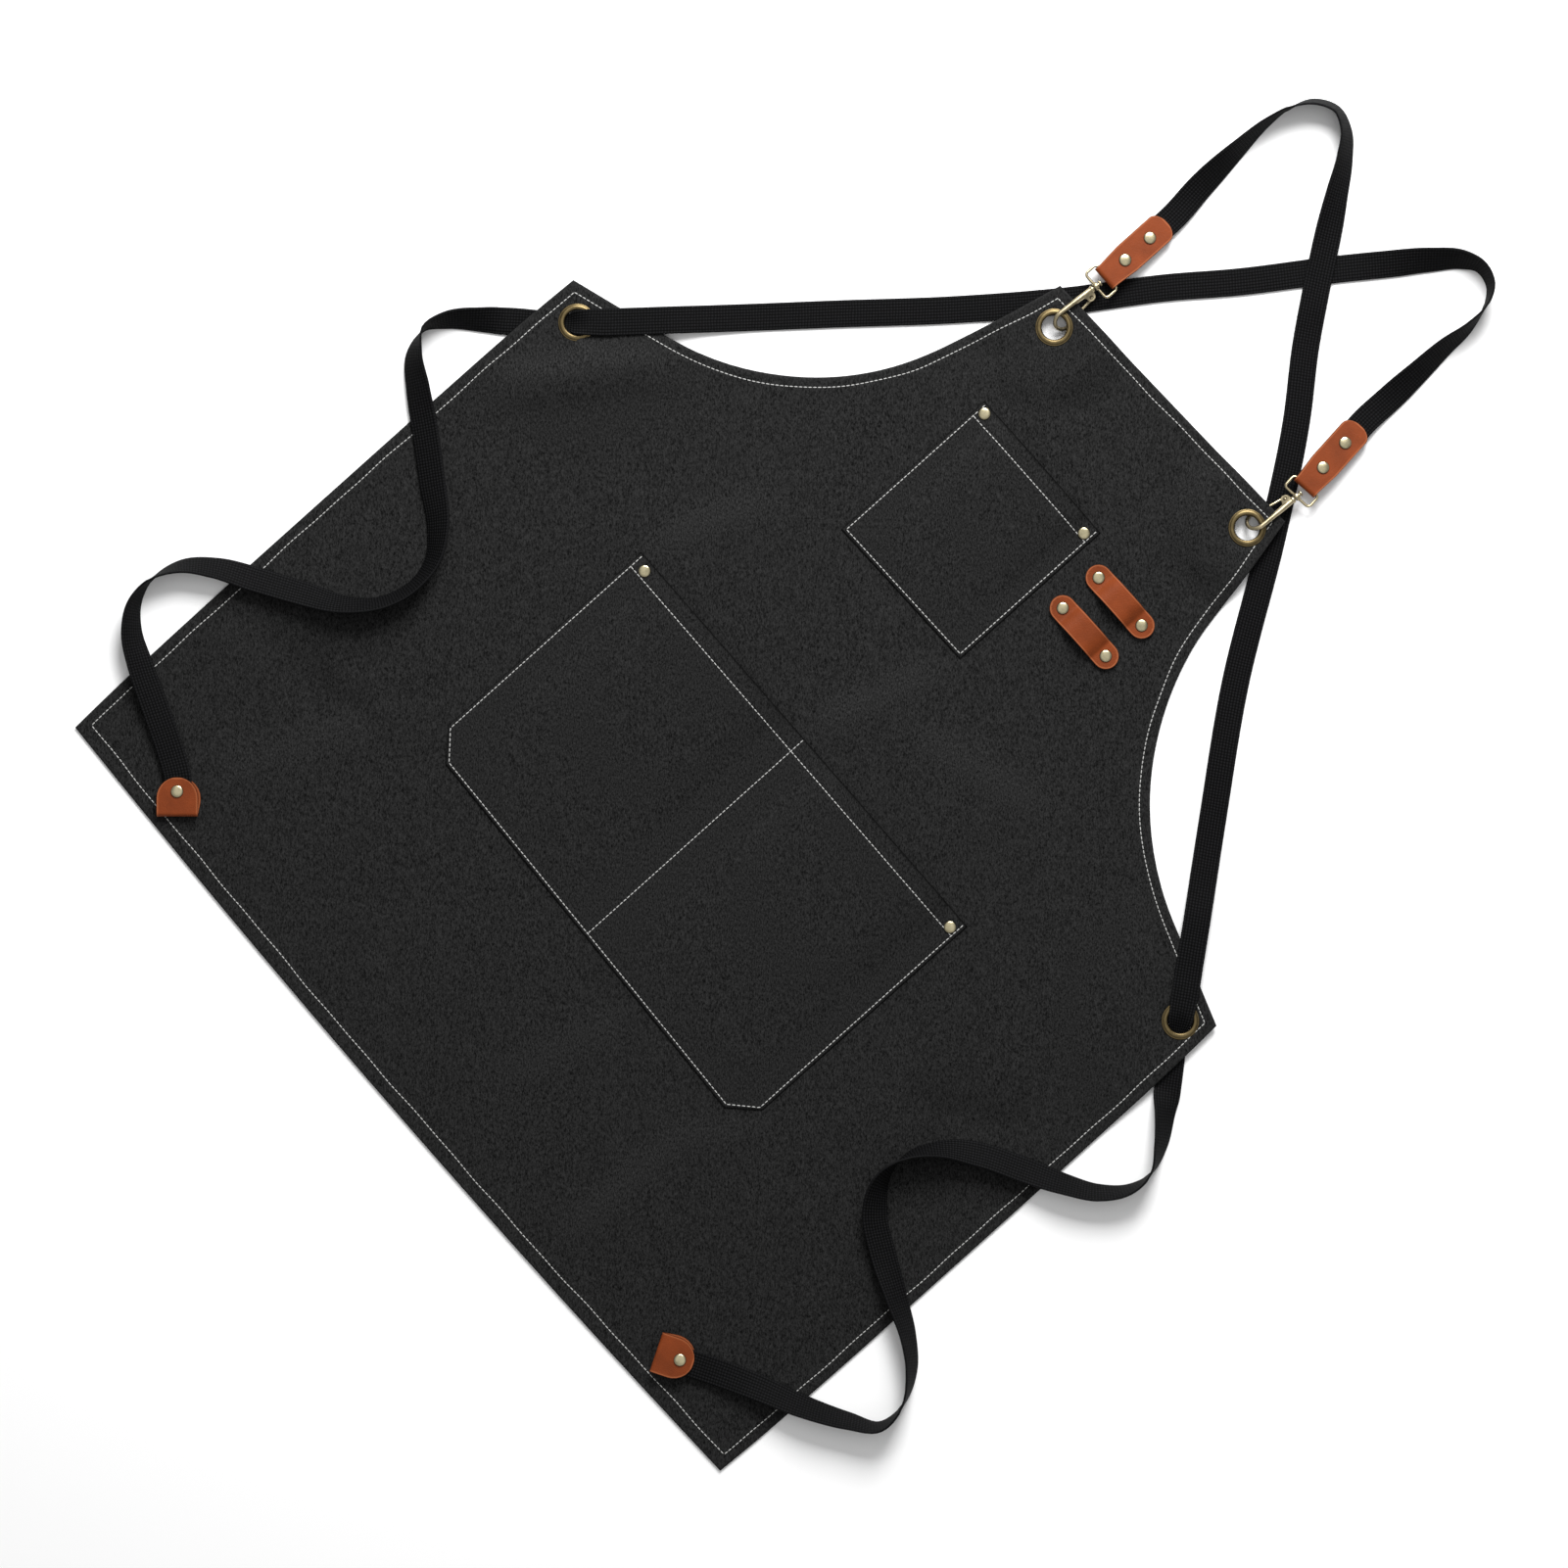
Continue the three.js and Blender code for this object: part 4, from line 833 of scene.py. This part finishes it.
def make_pocket(name, pocket, node):
    """A patch pocket, with painted shade at its turned edges and its mouth."""
    steps, high = POCKET_STEPS * pocket["rooms"], pocket["height"]
    insets = [2 * i / pocket["width"] for i in POCKET_INSETS]
    columns = [i - 1 for i in insets] + [i / steps * 2 - 1 for i in range(2, steps - 1)]
    columns += [1 - i for i in reversed(insets)]
    rows = spread(0, (1.2, 3), (20, 12), (high - 16, 40), (high - 1.2, 14), (high, 3))
    bm, tone = start("tone")

    def place(vert, share, height):
        x, y, z = pocket_face(pocket, share, height)
        vert.co = point(x, y, z)
        sewn = pocket_point(pocket, share, height)[2]
        # Painted shade along the sewn edges and the mouth, with the creases' painted light and shade
        dark = fading(sewn, *POCKET_EDGE_SHADE) + fading(high - height, *MOUTH_SHADE)
        vert[tone] = CREASE_SHADING * creased(x, y) - dark

    grid(bm, columns, rows, place)
    made = piece(name, bm, "charcoal canvas", APRON, "canvas", node)
    thicken(made, POCKET_CLOTH * MM, -1)
    return made


def make_pocket_stitches(name, pocket):
    """Stitches round a pocket, along its mouth and up the seam between its rooms."""
    half, height, cut = pocket["width"] / 2, pocket["height"], pocket["chamfer"]
    side = foot = 1 - POCKET_STITCH / half
    low = POCKET_STITCH
    if cut:
        past_cut = cut + 0.4 * POCKET_STITCH
        low = max(POCKET_STITCH, past_cut)
        foot = (half - past_cut) / (half - cut + POCKET_STITCH)
    lines = [[(s, POCKET_STITCH) for s in np.linspace(-foot, foot, 90)]]
    for way in (-1, 1):
        lines.append([(way * side, up) for up in np.linspace(low, height - 1.5, 60)])
        if cut:
            lines.append([(way * (foot + (side - foot) * t), POCKET_STITCH + (low - POCKET_STITCH) * t)
                          for t in np.linspace(0, 1, 12)])
    lines.append([(s, height - MOUTH_BAND) for s in np.linspace(-side, side, 120)])
    if pocket["rooms"] > 1:
        lines.append([(0.0, up) for up in np.linspace(POCKET_STITCH, height - 1.0, 60)])
    faces = [[pocket_face(pocket, share, up) for share, up in line] for line in lines]
    return make_stitches(name, faces, near(POCKET_RIVETS, RIVET_HEAD))


# Leather loops, rivets and grommets

def make_loop(name, spot):
    """A leather strip with round ends that bows up between its rivets."""
    half, pitch = LOOP_WIDTH / 2, LOOP_PITCH / 2
    ends = [pitch + half * sin(radians(a)) for a in (88, 80, 70, 58, 44, 30, 15)]
    columns = [-x for x in ends] + spread(-pitch, (pitch, 44)) + list(reversed(ends))
    bm, edge = start("edge")

    def place(vert, x, v):
        past = max(0.0, abs(x) - pitch)
        reach = sqrt(half ** 2 - past ** 2)
        bow = LOOP_SLACK * max(0.0, 1 - (x / LOOP_BOW) ** 4) ** 1.5
        press = dent(hypot(abs(x) - pitch, v * reach), *LOOP_PRESS)
        inset = half - hypot(past, v * reach) if past else half - abs(v) * half
        top = CLOTH_TOP + LOOP_GAP + LOOP_LEATHER + bow + press
        vert.co = point(spot[0] + x, spot[1] + v * reach, top)
        vert[edge] = 1 - ease(inset, 0, LEATHER_EDGE)

    grid(bm, columns, both_ways([1, 0.97, 0.93, 0.87, 0.75, 0.5, 0.25, 0]), place)
    made = piece(f"leather_loop_{name}", bm, "tan leather", APRON, "leather", f"tool_loop_{name}")
    thicken(made, LOOP_LEATHER * MM, -1)
    round_edges(made, 0.35 * MM)


def add_rivet(bm, edge, place, head_z, cap_z):
    """A rivet with its seat under the head and its cap behind, with painted shade round the head's rim."""
    foot = cap_z - RIVET_CAP_THICK
    profile = [(0, foot), (RIVET_CAP - RIVET_CAP_ROUND, foot), (RIVET_CAP, cap_z - RIVET_CAP_ROUND),
               (RIVET_CAP, cap_z), (RIVET_POST, cap_z), (RIVET_POST, head_z)]
    profile += [(RIVET_HEAD - inward, head_z + up) for inward, up in RIVET_RIM]
    profile += [(r, head_z + RIVET_CROWN - RIVET_DISH * (r / RIVET_HEAD) ** 2) for r in RIVET_RINGS]
    # Painted shade round the head's rim
    inner, outer, dark = RIVET_RIM_SHADE
    for vert, radius in lathe(bm, profile, 28, place).items():
        vert[edge] = dark * ease(radius, RIVET_HEAD - inner, RIVET_HEAD - outer)


def make_rivets(name, places, head_z, cap_z, nodes):
    """Rivets at some places, with the heights under their heads and over their caps."""
    bm, edge = start("edge")
    for place in places:
        add_rivet(bm, edge, place, head_z, cap_z)
    to_frame(bm)
    return piece(name, bm, "pale brass", APRON, "pale_brass", *nodes, sharp=50)


def make_grommets():
    """Grommets with a lip, a groove inside it, and a round crown that turns down into the bore."""
    bm, edge = start("edge")
    for x, y, lift, _, _, grip in GROMMETS:
        top = lift + CLOTH_TOP - GROMMET_BITE
        under = lift + CLOTH_TOP - grip - SEAT
        high = lift + CLOTH_TOP + SEAT + GROMMET_FACE
        low = under - GROMMET_FOOT
        profile = [(GROMMET_HOLE, low + 0.25), (GROMMET_HOLE + 0.4, low + 0.05), (GROMMET_BACK - 0.3, low),
                   (GROMMET_BACK, low + 0.25), (GROMMET_BACK, under), (GROMMET_BARREL, under),
                   (GROMMET_BARREL, top)]
        profile += [(GROMMET_FRONT - inward, top + up) for inward, up in LIP_SECTION]
        profile += [(GROMMET_FRONT - inward, high - down) for inward, down in CROWN_SECTION]
        profile += [(GROMMET_HOLE + out, high - down) for out, down in BORE_SECTION]
        for vert, radius in lathe(bm, [*profile, profile[0]], 48, Matrix.Translation((x, y, 0))).items():
            # Painted shade down the bore and in the groove inside the lip
            groove = -dent(GROMMET_FRONT - radius - GROMMET_GROOVE, *GROOVE_SHADE)
            vert[edge] = max(fading(radius - GROMMET_HOLE, *BORE_SHADE), groove)
    to_frame(bm)
    # Painted shade on the grommets' sides and undersides
    shade_sides_and_undersides(bm, edge, 0.9)
    piece("grommets", bm, "antique brass", APRON, "antique_brass", *GROMMET_NODES, sharp=55)


# Straps

def curve(at, run, values, bend):
    """A smooth line through values with given slopes."""
    i = np.clip(np.searchsorted(run, at, side="right") - 1, 0, len(run) - 2)
    h = np.diff(run)[i]
    t = (at - run[i]) / h
    return ((1 + 2 * t) * (1 - t) ** 2 * values[i] + t * (1 - t) ** 2 * h * bend[i]
            + t * t * (3 - 2 * t) * values[i + 1] + t * t * (t - 1) * h * bend[i + 1])


def steady(at, run, values):
    """A smooth line through values that never passes beyond its neighbours."""
    slopes = np.diff(values) / np.diff(run)
    bend = np.zeros(len(run))
    bend[0], bend[-1] = slopes[0], slopes[-1]
    for i, (a, b) in enumerate(zip(slopes, slopes[1:]), 1):
        if a * b > 0:
            bend[i] = 2 * a * b / (a + b)
    return curve(at, run, values, bend)


def strap_stations(route):
    """Centres, width directions, face directions, widths and sags at a fine pitch along a strap."""
    thick = sizes().webbing / MM
    rows = [row + (STRAP_WIDTH, 0.0)[len(row) - 4:] for row in route]
    x, y, *others = (np.array(c, float) for c in zip(*rows))
    run = run_along(np.stack([x, y], axis=1))
    at = np.linspace(0, run[-1], int(run[-1] / STRAP_PITCH))
    cx, cy = (curve(at, run, c, np.gradient(c, run)) for c in (x, y))
    on, tilt, width, sag = (steady(at, run, c) for c in others)
    turn = np.radians(tilt)
    heading = np.stack([np.gradient(cx), np.gradient(cy)], axis=1)
    heading /= np.linalg.norm(heading, axis=1)[:, None]
    left = np.stack([-heading[:, 1], heading[:, 0], np.zeros(len(at))], axis=1)
    up = np.array(UP)
    wide = left * np.cos(turn)[:, None] + up * np.sin(turn)[:, None]
    face = -left * np.sin(turn)[:, None] + up * np.cos(turn)[:, None]
    rise = (width * np.abs(np.sin(turn)) + thick * np.abs(np.cos(turn))) / 2
    centre = np.stack([cx, cy, on + STRAP_FLOOR_GAP + rise], axis=1)
    return centre, wide, face, width, sag


def make_strap(name, route, node, tab, rivet):
    """A webbing strap along its route; its tab and rivet arguments are not used."""
    centre, wide, face, width, sag = strap_stations(route)
    run = run_along(centre)
    bm = bmesh.new()
    spots = {}

    def place(vert, v, k):
        curl = (sag[k] * v * v - WEBBING_CROWN * v ** 4) * (1 if face[k][2] > 0 else -1)
        vert.co = point(*(centre[k] + wide[k] * v * width[k] / 2 + face[k] * curl))
        spots[vert] = (run[k] * MM, (v + 1) / 2)

    grid(bm, both_ways([1, 0.92, 0.75, 0.5, 0.25, 0]), range(len(centre)), place)
    layer = bm.loops.layers.uv.new("run")
    for f in bm.faces:
        for corner in f.loops:
            corner[layer].uv = spots[corner.vert]
    made = piece(name, bm, "black webbing", APRON, "webbing", node)
    thicken(made, sizes().webbing, 0)


# Leather tabs and metal clips

def tab_half(tab, x):
    """Half a tab's width at a distance from its fold."""
    half, neck = tab["width"] / 2, tab["neck"] / 2
    narrow, full = tab["shoulder"]
    if x < full:
        return neck + (half - neck) * min(1.0, max(0.0, (x - narrow) / (full - narrow)))
    past = max(0.0, x - (tab["length"] - tab["round"])) / tab["round"]
    return half * sqrt(max(0.0, 1 - past ** 2))


def make_tab(name, tab, place, node, peek=0.0):
    """A leather strip folded in two, whose back leaf may peek out past the front one."""
    middle = (tab["slot"] + tab["leaf"]) / 2
    fold = tab["slot"] / 2 + tab["leaf"]
    far = tab["length"] - tab["round"]
    tips = [far + tab["round"] * sin(radians(a)) for a in (88.5, 82, 74, 64, 52, 40, 26, 12)]
    narrow, full = tab["shoulder"]
    leaf = tips + spread(far, (full, 8), (narrow, 6), (fold, 3))
    bends = [radians(a) for a in spread(90, (270, 12))][1:-1]
    columns = [(1, x) for x in leaf] + [(0, a) for a in bends] + [(-1, x) for x in reversed(leaf)]
    bm, edge = start("edge")

    def put(vert, column, v):
        side, value = column
        x = value if side else fold + middle * cos(value)
        z = middle * (side or sin(value))
        reach = tab_half(tab, x)
        press = sum(dent(hypot(x - r, v * reach), *TAB_PRESS) for r in tab["rivets"])
        slip = peek * ease(x, 0, 12) if side < 0 else 0.0
        vert.co = Vector((x, v * reach + slip, z + side * press))
        vert[edge] = 1 - ease(min(reach * (1 - abs(v)), tab["length"] - x), 0, LEATHER_EDGE)

    grid(bm, columns, both_ways([1, 0.97, 0.93, 0.87, 0.7, 0.4, 0]), put)
    bmesh.ops.recalc_face_normals(bm, faces=bm.faces[:])
    to_frame(bm, place)
    made = piece(name, bm, "tan leather", APRON, "leather", node)
    thicken(made, tab["leaf"] * MM, 0)
    round_edges(made, 0.3 * MM)
    return made


def tab_rivets(name, tab, place, nodes):
    """The rivets through both leaves of a tab."""
    face = tab["slot"] / 2 + tab["leaf"] + SEAT - TAB_BITE
    places = [place @ Matrix.Translation((x, 0, 0)) for x in tab["rivets"]]
    return make_rivets(name, places, face, -face, nodes)


def placed(spot, z, turns):
    """A place at a spot and height, turned by angles in degrees about its own axes."""
    place = Matrix.Translation((*spot, z))
    for angle, axis in turns:
        place = place @ Matrix.Rotation(radians(angle), 4, axis)
    return place


def heading_of(angle):
    """A direction in the plane, by its angle in degrees."""
    return Vector((cos(radians(angle)), sin(radians(angle))))


def clip_frames(clip):
    """Places of a clip's hook, ring and tab, worked out from the grommet that it hangs in."""
    lean, tab_turn = clip["lean"] - 90, 90 + clip["turn"]
    along, to_tab = heading_of(lean), heading_of(tab_turn)
    across = Vector((-along.y, along.x)) * clip["gate"]
    swivel = Vector(clip["grommet"][:2]) - along * HOOK_IN_HOLE[0] - across * HOOK_IN_HOLE[1]
    boss = swivel + along * HOOK_BOSS_AT
    boss_z = HOOK_TAB_FOLD_Z + RING_DEPTH * sin(radians(RING_PITCH))
    hook_z = boss_z - HOOK_BOSS_AT * sin(radians(HOOK_PITCH))
    roll = -HOOK_TILT if clip["gate"] > 0 else 180 + HOOK_TILT
    hook = placed(swivel, hook_z, [(lean, "Z"), (-HOOK_PITCH, "Y"), (roll, "X")])
    ring = placed(boss, boss_z, [(tab_turn, "Z"), (RING_PITCH, "Y")])
    back = HOOK_TAB["slot"] / 2 + HOOK_TAB["leaf"]
    fold = boss + to_tab * (RING_DEPTH * cos(radians(RING_PITCH)) - back)
    slope = atan(HOOK_TAB_SLOPE) * 180 / pi
    tab = placed(fold, HOOK_TAB_FOLD_Z + back * HOOK_TAB_SLOPE, [(tab_turn, "Z"), (slope, "Y")])
    return hook, ring, tab


def clip_piece(name, bm, edge, place, node, body=APRON, dark=0.85):
    """A metal piece of a clip, put in its place, with painted shade on its sides and undersides."""
    to_frame(bm, place)
    # Painted shade on the sides and undersides
    shade_sides_and_undersides(bm, edge, dark)
    piece(name, bm, "hook brass", body, "antique_brass", node, sharp=50)


def make_ring(name, place, node):
    """A square wire ring with round corners, and the boss that the hook's stem turns in."""
    bm, edge = start("edge")
    near_x, far_x, wide = RING_CORNER, RING_DEPTH - RING_CORNER, RING_HALF - RING_CORNER
    stations = []
    for x, y, first in ((far_x, wide, 0), (near_x, wide, 90), (near_x, -wide, 180), (far_x, -wide, 270)):
        for a in range(first, first + 91, 15):
            out = heading_of(a).to_3d()
            stations.append((Vector((x, y, 0)) + out * RING_CORNER, out, UP, RING_WIRE, RING_WIRE))
    sweep(bm, stations, 14, closed=True)
    half, (inward, back) = BOSS_LENGTH / 2, BOSS_ROUND
    narrow, flat = BOSS_RADIUS - inward, half - back
    profile = [(BOSS_BORE, -half), (narrow, -half), (BOSS_RADIUS, -flat), (BOSS_RADIUS, flat), (narrow, half),
               (BOSS_BORE, half), (BOSS_BORE, -half)]
    lathe(bm, profile, 24, Matrix.Rotation(pi / 2, 4, "Y"))
    clip_piece(name, bm, edge, place, node)


def make_hook(name, place, node):
    """A snap hook: shank, bend and tip in one rod, a stem with its head, and two cheeks with the pin."""
    bm, edge = start("edge")
    stations = [(Vector((a, b, 0)), Vector((0, 1, 0)), UP, ru, rv) for a, b, ru, rv in SHANK]
    by, within = HOOK_THINS
    for step in range(0, 181, 12):
        turn = radians(step)
        wire = HOOK_WIRE - by * min(1, step / within)
        spot = Vector((HOOK_STRAIGHT + HOOK_BEND * sin(turn), HOOK_BEND * (1 - cos(turn)), 0))
        stations.append((spot, Vector((-sin(turn), cos(turn), 0)), UP, wire, wire))
    for share, wire in TIP:
        spot = Vector((HOOK_STRAIGHT - share * HOOK_TIP_BACK, 2 * HOOK_BEND, 0))
        stations.append((spot, Vector((0, -1, 0)), UP, wire, wire))
    sweep(bm, stations, 16)
    lathe(bm, STEM_SECTION, 24, Matrix.Rotation(pi / 2, 4, "Y"))
    pivot = Vector(GATE_PIVOT)
    eye = [pivot + heading_of(a) * CHEEK_RADIUS for a in range(-10, 181, 19)]
    for way in (1, -1):
        outer = way * (CHEEK_INNER + CHEEK_THICK)
        plate(bm, [*CHEEK_FOOT, *eye], min(way * CHEEK_INNER, outer), CHEEK_THICK, CHEEK_SOFT)
        pin = placed(GATE_PIVOT, outer, [(0 if way > 0 else 180, "X")])
        # Painted shade in a ring round the pin head
        for vert, radius in lathe(bm, PIN_SECTION, 16, pin).items():
            vert[edge] = PIN_RING_SHADE * ease(radius, 0.8, 1.02)
    clip_piece(name, bm, edge, place, node)


def make_gate(name, place, node, body):
    """The sprung gate: a knuckle on its pin, a heel, and a bar to the hook's tip."""
    bm, edge = start("edge")
    half, narrow = GATE_THICK / 2, GATE_KNUCKLE - GATE_ROUND
    flat = half - GATE_ROUND
    knuckle = [(0, -half), (narrow, -half), (GATE_KNUCKLE, -flat), (GATE_KNUCKLE, flat), (narrow, half),
               (0, half)]
    lathe(bm, knuckle, 20, Matrix.Translation((*GATE_PIVOT, 0)))
    pivot, first, last = (Vector((*spot, 0)) for spot in (GATE_PIVOT, GATE_FROM, GATE_END))
    rise = first.y - pivot.y
    heel = [(0, 1.7), (0.5 * rise, 1.6), (rise, 1.5), (rise + 0.6, 1.2), (rise + 0.85, 0.6)]
    sweep(bm, [(pivot + Vector((0, b, 0)), Vector((1, 0, 0)), UP, wide, 0.95 * half) for b, wide in heel], 14)
    run = (last - first).length
    along = (last - first).normalized()
    bar = [(-0.6, 0.5), (0, GATE_WIRE), (0.6 * run, GATE_WIRE), (run - 0.5, GATE_WIRE), (run - 0.1, 0.6)]
    sweep(bm, [(first + along * at, UP.cross(along), UP, wide, wide) for at, wide in bar], 16)
    clip_piece(name, bm, edge, place, node, body, 0.7)


# Sizes and colours

def size_of(name, text, value):
    return bpy.props.FloatProperty(name=name, description=text, default=value, unit="LENGTH", precision=5)


def colour_of(name, text, value):
    return bpy.props.FloatVectorProperty(name=name, description=text, default=value, subtype="COLOR", size=3,
                                         min=0, max=1)


class ApronSizes(bpy.types.PropertyGroup):
    """Sizes of the fine work on the apron."""
    stitch: size_of("Stitch", "Length of one stitch", 0.0029)
    stitch_pitch: size_of("Stitch pitch", "From one stitch to the next", 0.0033)
    thread: size_of("Thread", "Thickness of the sewing thread", 0.00082)
    webbing: size_of("Webbing", "Thickness of the straps' webbing", 0.0014)
    ripple: size_of("Ripple", "Height of the cloth's unevenness", 0.00022)


class ApronColours(bpy.types.PropertyGroup):
    """Colours of the apron's finishes."""
    canvas: colour_of("Canvas", "Colour of the cloth", (0.0103, 0.0103, 0.0103))
    webbing: colour_of("Webbing", "Colour of the straps", (0.0027, 0.0027, 0.0029))
    leather: colour_of("Leather", "Colour of the tabs and loops", (0.183, 0.0366, 0.0078))
    # Colour of the pale line near cut edges: burnished edge and painted highlight
    leather_edge_and_highlight: colour_of("Leather edge", "Colour of the burnished line near cut edges", (0.40, 0.13, 0.05))
    brass: colour_of("Brass", "Colour of grommets", (0.162, 0.122, 0.058))
    hook: colour_of("Hook", "Colour of hooks, gates and rings", (0.46, 0.39, 0.25))
    # Dark tarnish colour that the edge layer lays as painted shade on brass sides, undersides, bores, grooves
    # and rims
    brass_tarnish_and_shade: colour_of("Tarnish and shade", "Colour of the brass in its grooves", (0.045, 0.032, 0.016))
    rivet: colour_of("Rivet", "Colour of the rivet heads", (0.50, 0.445, 0.285))
    thread: colour_of("Thread", "Colour of the sewing thread", (0.50, 0.50, 0.485))
    floor: colour_of("Floor", "Colour of the floor", (0.92, 0.92, 0.92))


# Operators

class APRON_OT_stage(bpy.types.Operator):
    """Floor, light and camera"""
    bl_idname = "apron.stage"
    bl_label = "Stage"

    def execute(self, context):
        scene = context.scene
        bm = bmesh.new()
        bmesh.ops.create_grid(bm, x_segments=2, y_segments=2, size=FLOOR_HALF)
        bmesh.ops.translate(bm, verts=bm.verts, vec=(0, 0, FLOOR_Z))
        floor = mesh_of("floor", bm, "pale floor")
        for name, (spot, size, energy) in LIGHTS.items():
            lamp = bpy.data.lights.new(name, "AREA")
            lamp.size = size
            lamp.energy = energy
            light = stand(name, lamp)
            light.location = spot
            light.rotation_euler = (-Vector(spot)).to_track_quat("-Z", "Y").to_euler()
        world = bpy.data.worlds.new("studio")
        world.use_nodes = True
        room = world.node_tree.nodes["Background"]
        room.inputs["Color"].default_value = (1, 1, 1, 1)
        room.inputs["Strength"].default_value = ROOM_LIGHT
        scene.world = world
        scene.view_settings.view_transform = "Standard"
        lens = bpy.data.cameras.new("camera")
        lens.sensor_width = 36.0
        lens.lens = lens.sensor_width * VIEW_DISTANCE / VIEW_WIDTH
        camera = stand("camera", lens)
        camera.location = point(*VIEW_MIDDLE, 0) + UP * VIEW_DISTANCE
        camera.rotation_euler = (0, 0, radians(VIEW_TURN))
        scene.camera = camera
        return {"FINISHED"}


class APRON_OT_panel(bpy.types.Operator):
    """The canvas panel with its hems and their stitches"""
    bl_idname = "apron.panel"
    bl_label = "Panel"

    def execute(self, context):
        panel = make_panel()
        stitches = make_panel_stitches()
        return {"FINISHED"}


class APRON_OT_pockets(bpy.types.Operator):
    """The patch pockets with their stitches"""
    bl_idname = "apron.pockets"
    bl_label = "Pockets"

    def execute(self, context):
        for name, pocket in (("hand", HAND_POCKET), ("chest", CHEST_POCKET)):
            cloth = make_pocket(f"canvas_{name}_pocket", pocket, f"{name}_pocket")
            stitches = make_pocket_stitches(f"{name}_pocket_stitches", pocket)
        return {"FINISHED"}


class APRON_OT_loops(bpy.types.Operator):
    """The leather tool loops"""
    bl_idname = "apron.loops"
    bl_label = "Tool loops"

    def execute(self, context):
        for name, spot in LOOPS.items():
            make_loop(name, spot)
        return {"FINISHED"}


class APRON_OT_rivets(bpy.types.Operator):
    """The rivets of the pockets and tool loops"""
    bl_idname = "apron.rivets"
    bl_label = "Rivets"

    def execute(self, context):
        on_loops = [(x + s * LOOP_PITCH / 2, y) for x, y in LOOPS.values() for s in (-1, 1)]
        pocket_head = CLOTH_TOP - BODY_DROP + POCKET_CLOTH + POCKET_SEAT
        loop_head = CLOTH_TOP + LOOP_LEATHER + LOOP_SEAT
        for name, spots, head, kinds in (
            ("pocket_rivets", POCKET_RIVETS, pocket_head, ("chest", "hand")),
            ("loop_rivets", on_loops, loop_head, ("loop_upper", "loop_lower")),
        ):
            places = [Matrix.Translation((x, y, 0)) for x, y in spots]
            nodes = [f"rivet_{kind}_{side}" for kind in kinds for side in ("left", "right")]
            make_rivets(name, places, head, CLOTH_TOP - CLOTH - SEAT, nodes)
        return {"FINISHED"}


class APRON_OT_grommets(bpy.types.Operator):
    """The four grommets"""
    bl_idname = "apron.grommets"
    bl_label = "Grommets"

    def execute(self, context):
        make_grommets()
        return {"FINISHED"}


class APRON_OT_clips(bpy.types.Operator):
    """The snap hooks with their gates, rings and leather tabs"""
    bl_idname = "apron.clips"
    bl_label = "Clips"

    def execute(self, context):
        for side, clip in CLIPS.items():
            hook, ring, tab = clip_frames(clip)
            make_hook(f"brass_hook_{side}", hook, f"snap_hook_{side}")
            make_gate(f"brass_gate_{side}", hook, f"hook_gate_{side}", f"gate_{side}")
            make_ring(f"brass_ring_{side}", ring, f"swivel_ring_{side}")
            make_tab(f"leather_hook_tab_{side}", HOOK_TAB, tab, f"hook_tab_{side}")
            tab_rivets(f"hook_tab_rivets_{side}", HOOK_TAB, tab, [f"hook_rivet_{side}_{n}" for n in (1, 2)])
        return {"FINISHED"}


class APRON_OT_straps(bpy.types.Operator):
    """The webbing straps with the leather tabs on their free ends"""
    bl_idname = "apron.straps"
    bl_label = "Straps"

    def execute(self, context):
        ends = {}
        for side, (x, y, turn) in END_TABS.items():
            place = placed((x, y), END_TAB_Z, [(turn, "Z")])
            tab = make_tab(f"leather_end_tab_{side}", END_TAB, place, f"end_tab_{side}", END_TAB_PEEK[side])
            ends[side] = tab, tab_rivets(f"end_tab_rivet_{side}", END_TAB, place, [f"end_rivet_{side}"])
        make_strap("webbing_strap_left", STRAP_LEFT, "strap_left", *ends["right"])
        make_strap("webbing_strap_right", STRAP_RIGHT, "strap_right", *ends["left"])
        return {"FINISHED"}


class APRON_PT_sidebar(bpy.types.Panel):
    """The apron's pieces and their sizes and colours"""
    bl_idname = "APRON_PT_sidebar"
    bl_label = "Artist apron"
    bl_space_type = "VIEW_3D"
    bl_region_type = "UI"
    bl_category = "Apron"

    def draw(self, context):
        for group in (context.scene.apron_sizes, context.scene.apron_colours):
            for key in group.__annotations__:
                self.layout.prop(group, key)
        for step in STEPS:
            self.layout.operator(step.bl_idname)


STEPS = (APRON_OT_stage, APRON_OT_panel, APRON_OT_pockets, APRON_OT_loops, APRON_OT_rivets, APRON_OT_grommets,
         APRON_OT_clips, APRON_OT_straps)
CLASSES = (ApronSizes, ApronColours, *STEPS, APRON_PT_sidebar)


def register():
    for cls in CLASSES:
        bpy.utils.register_class(cls)
    bpy.types.Scene.apron_sizes = bpy.props.PointerProperty(type=ApronSizes)
    bpy.types.Scene.apron_colours = bpy.props.PointerProperty(type=ApronColours)


def unregister():
    del bpy.types.Scene.apron_sizes
    del bpy.types.Scene.apron_colours
    for cls in reversed(CLASSES):
        bpy.utils.unregister_class(cls)


def main():
    register()
    for step in STEPS:
        group, name = step.bl_idname.split(".")
        getattr(getattr(bpy.ops, group), name)()


if __name__ == "__main__":
    main()
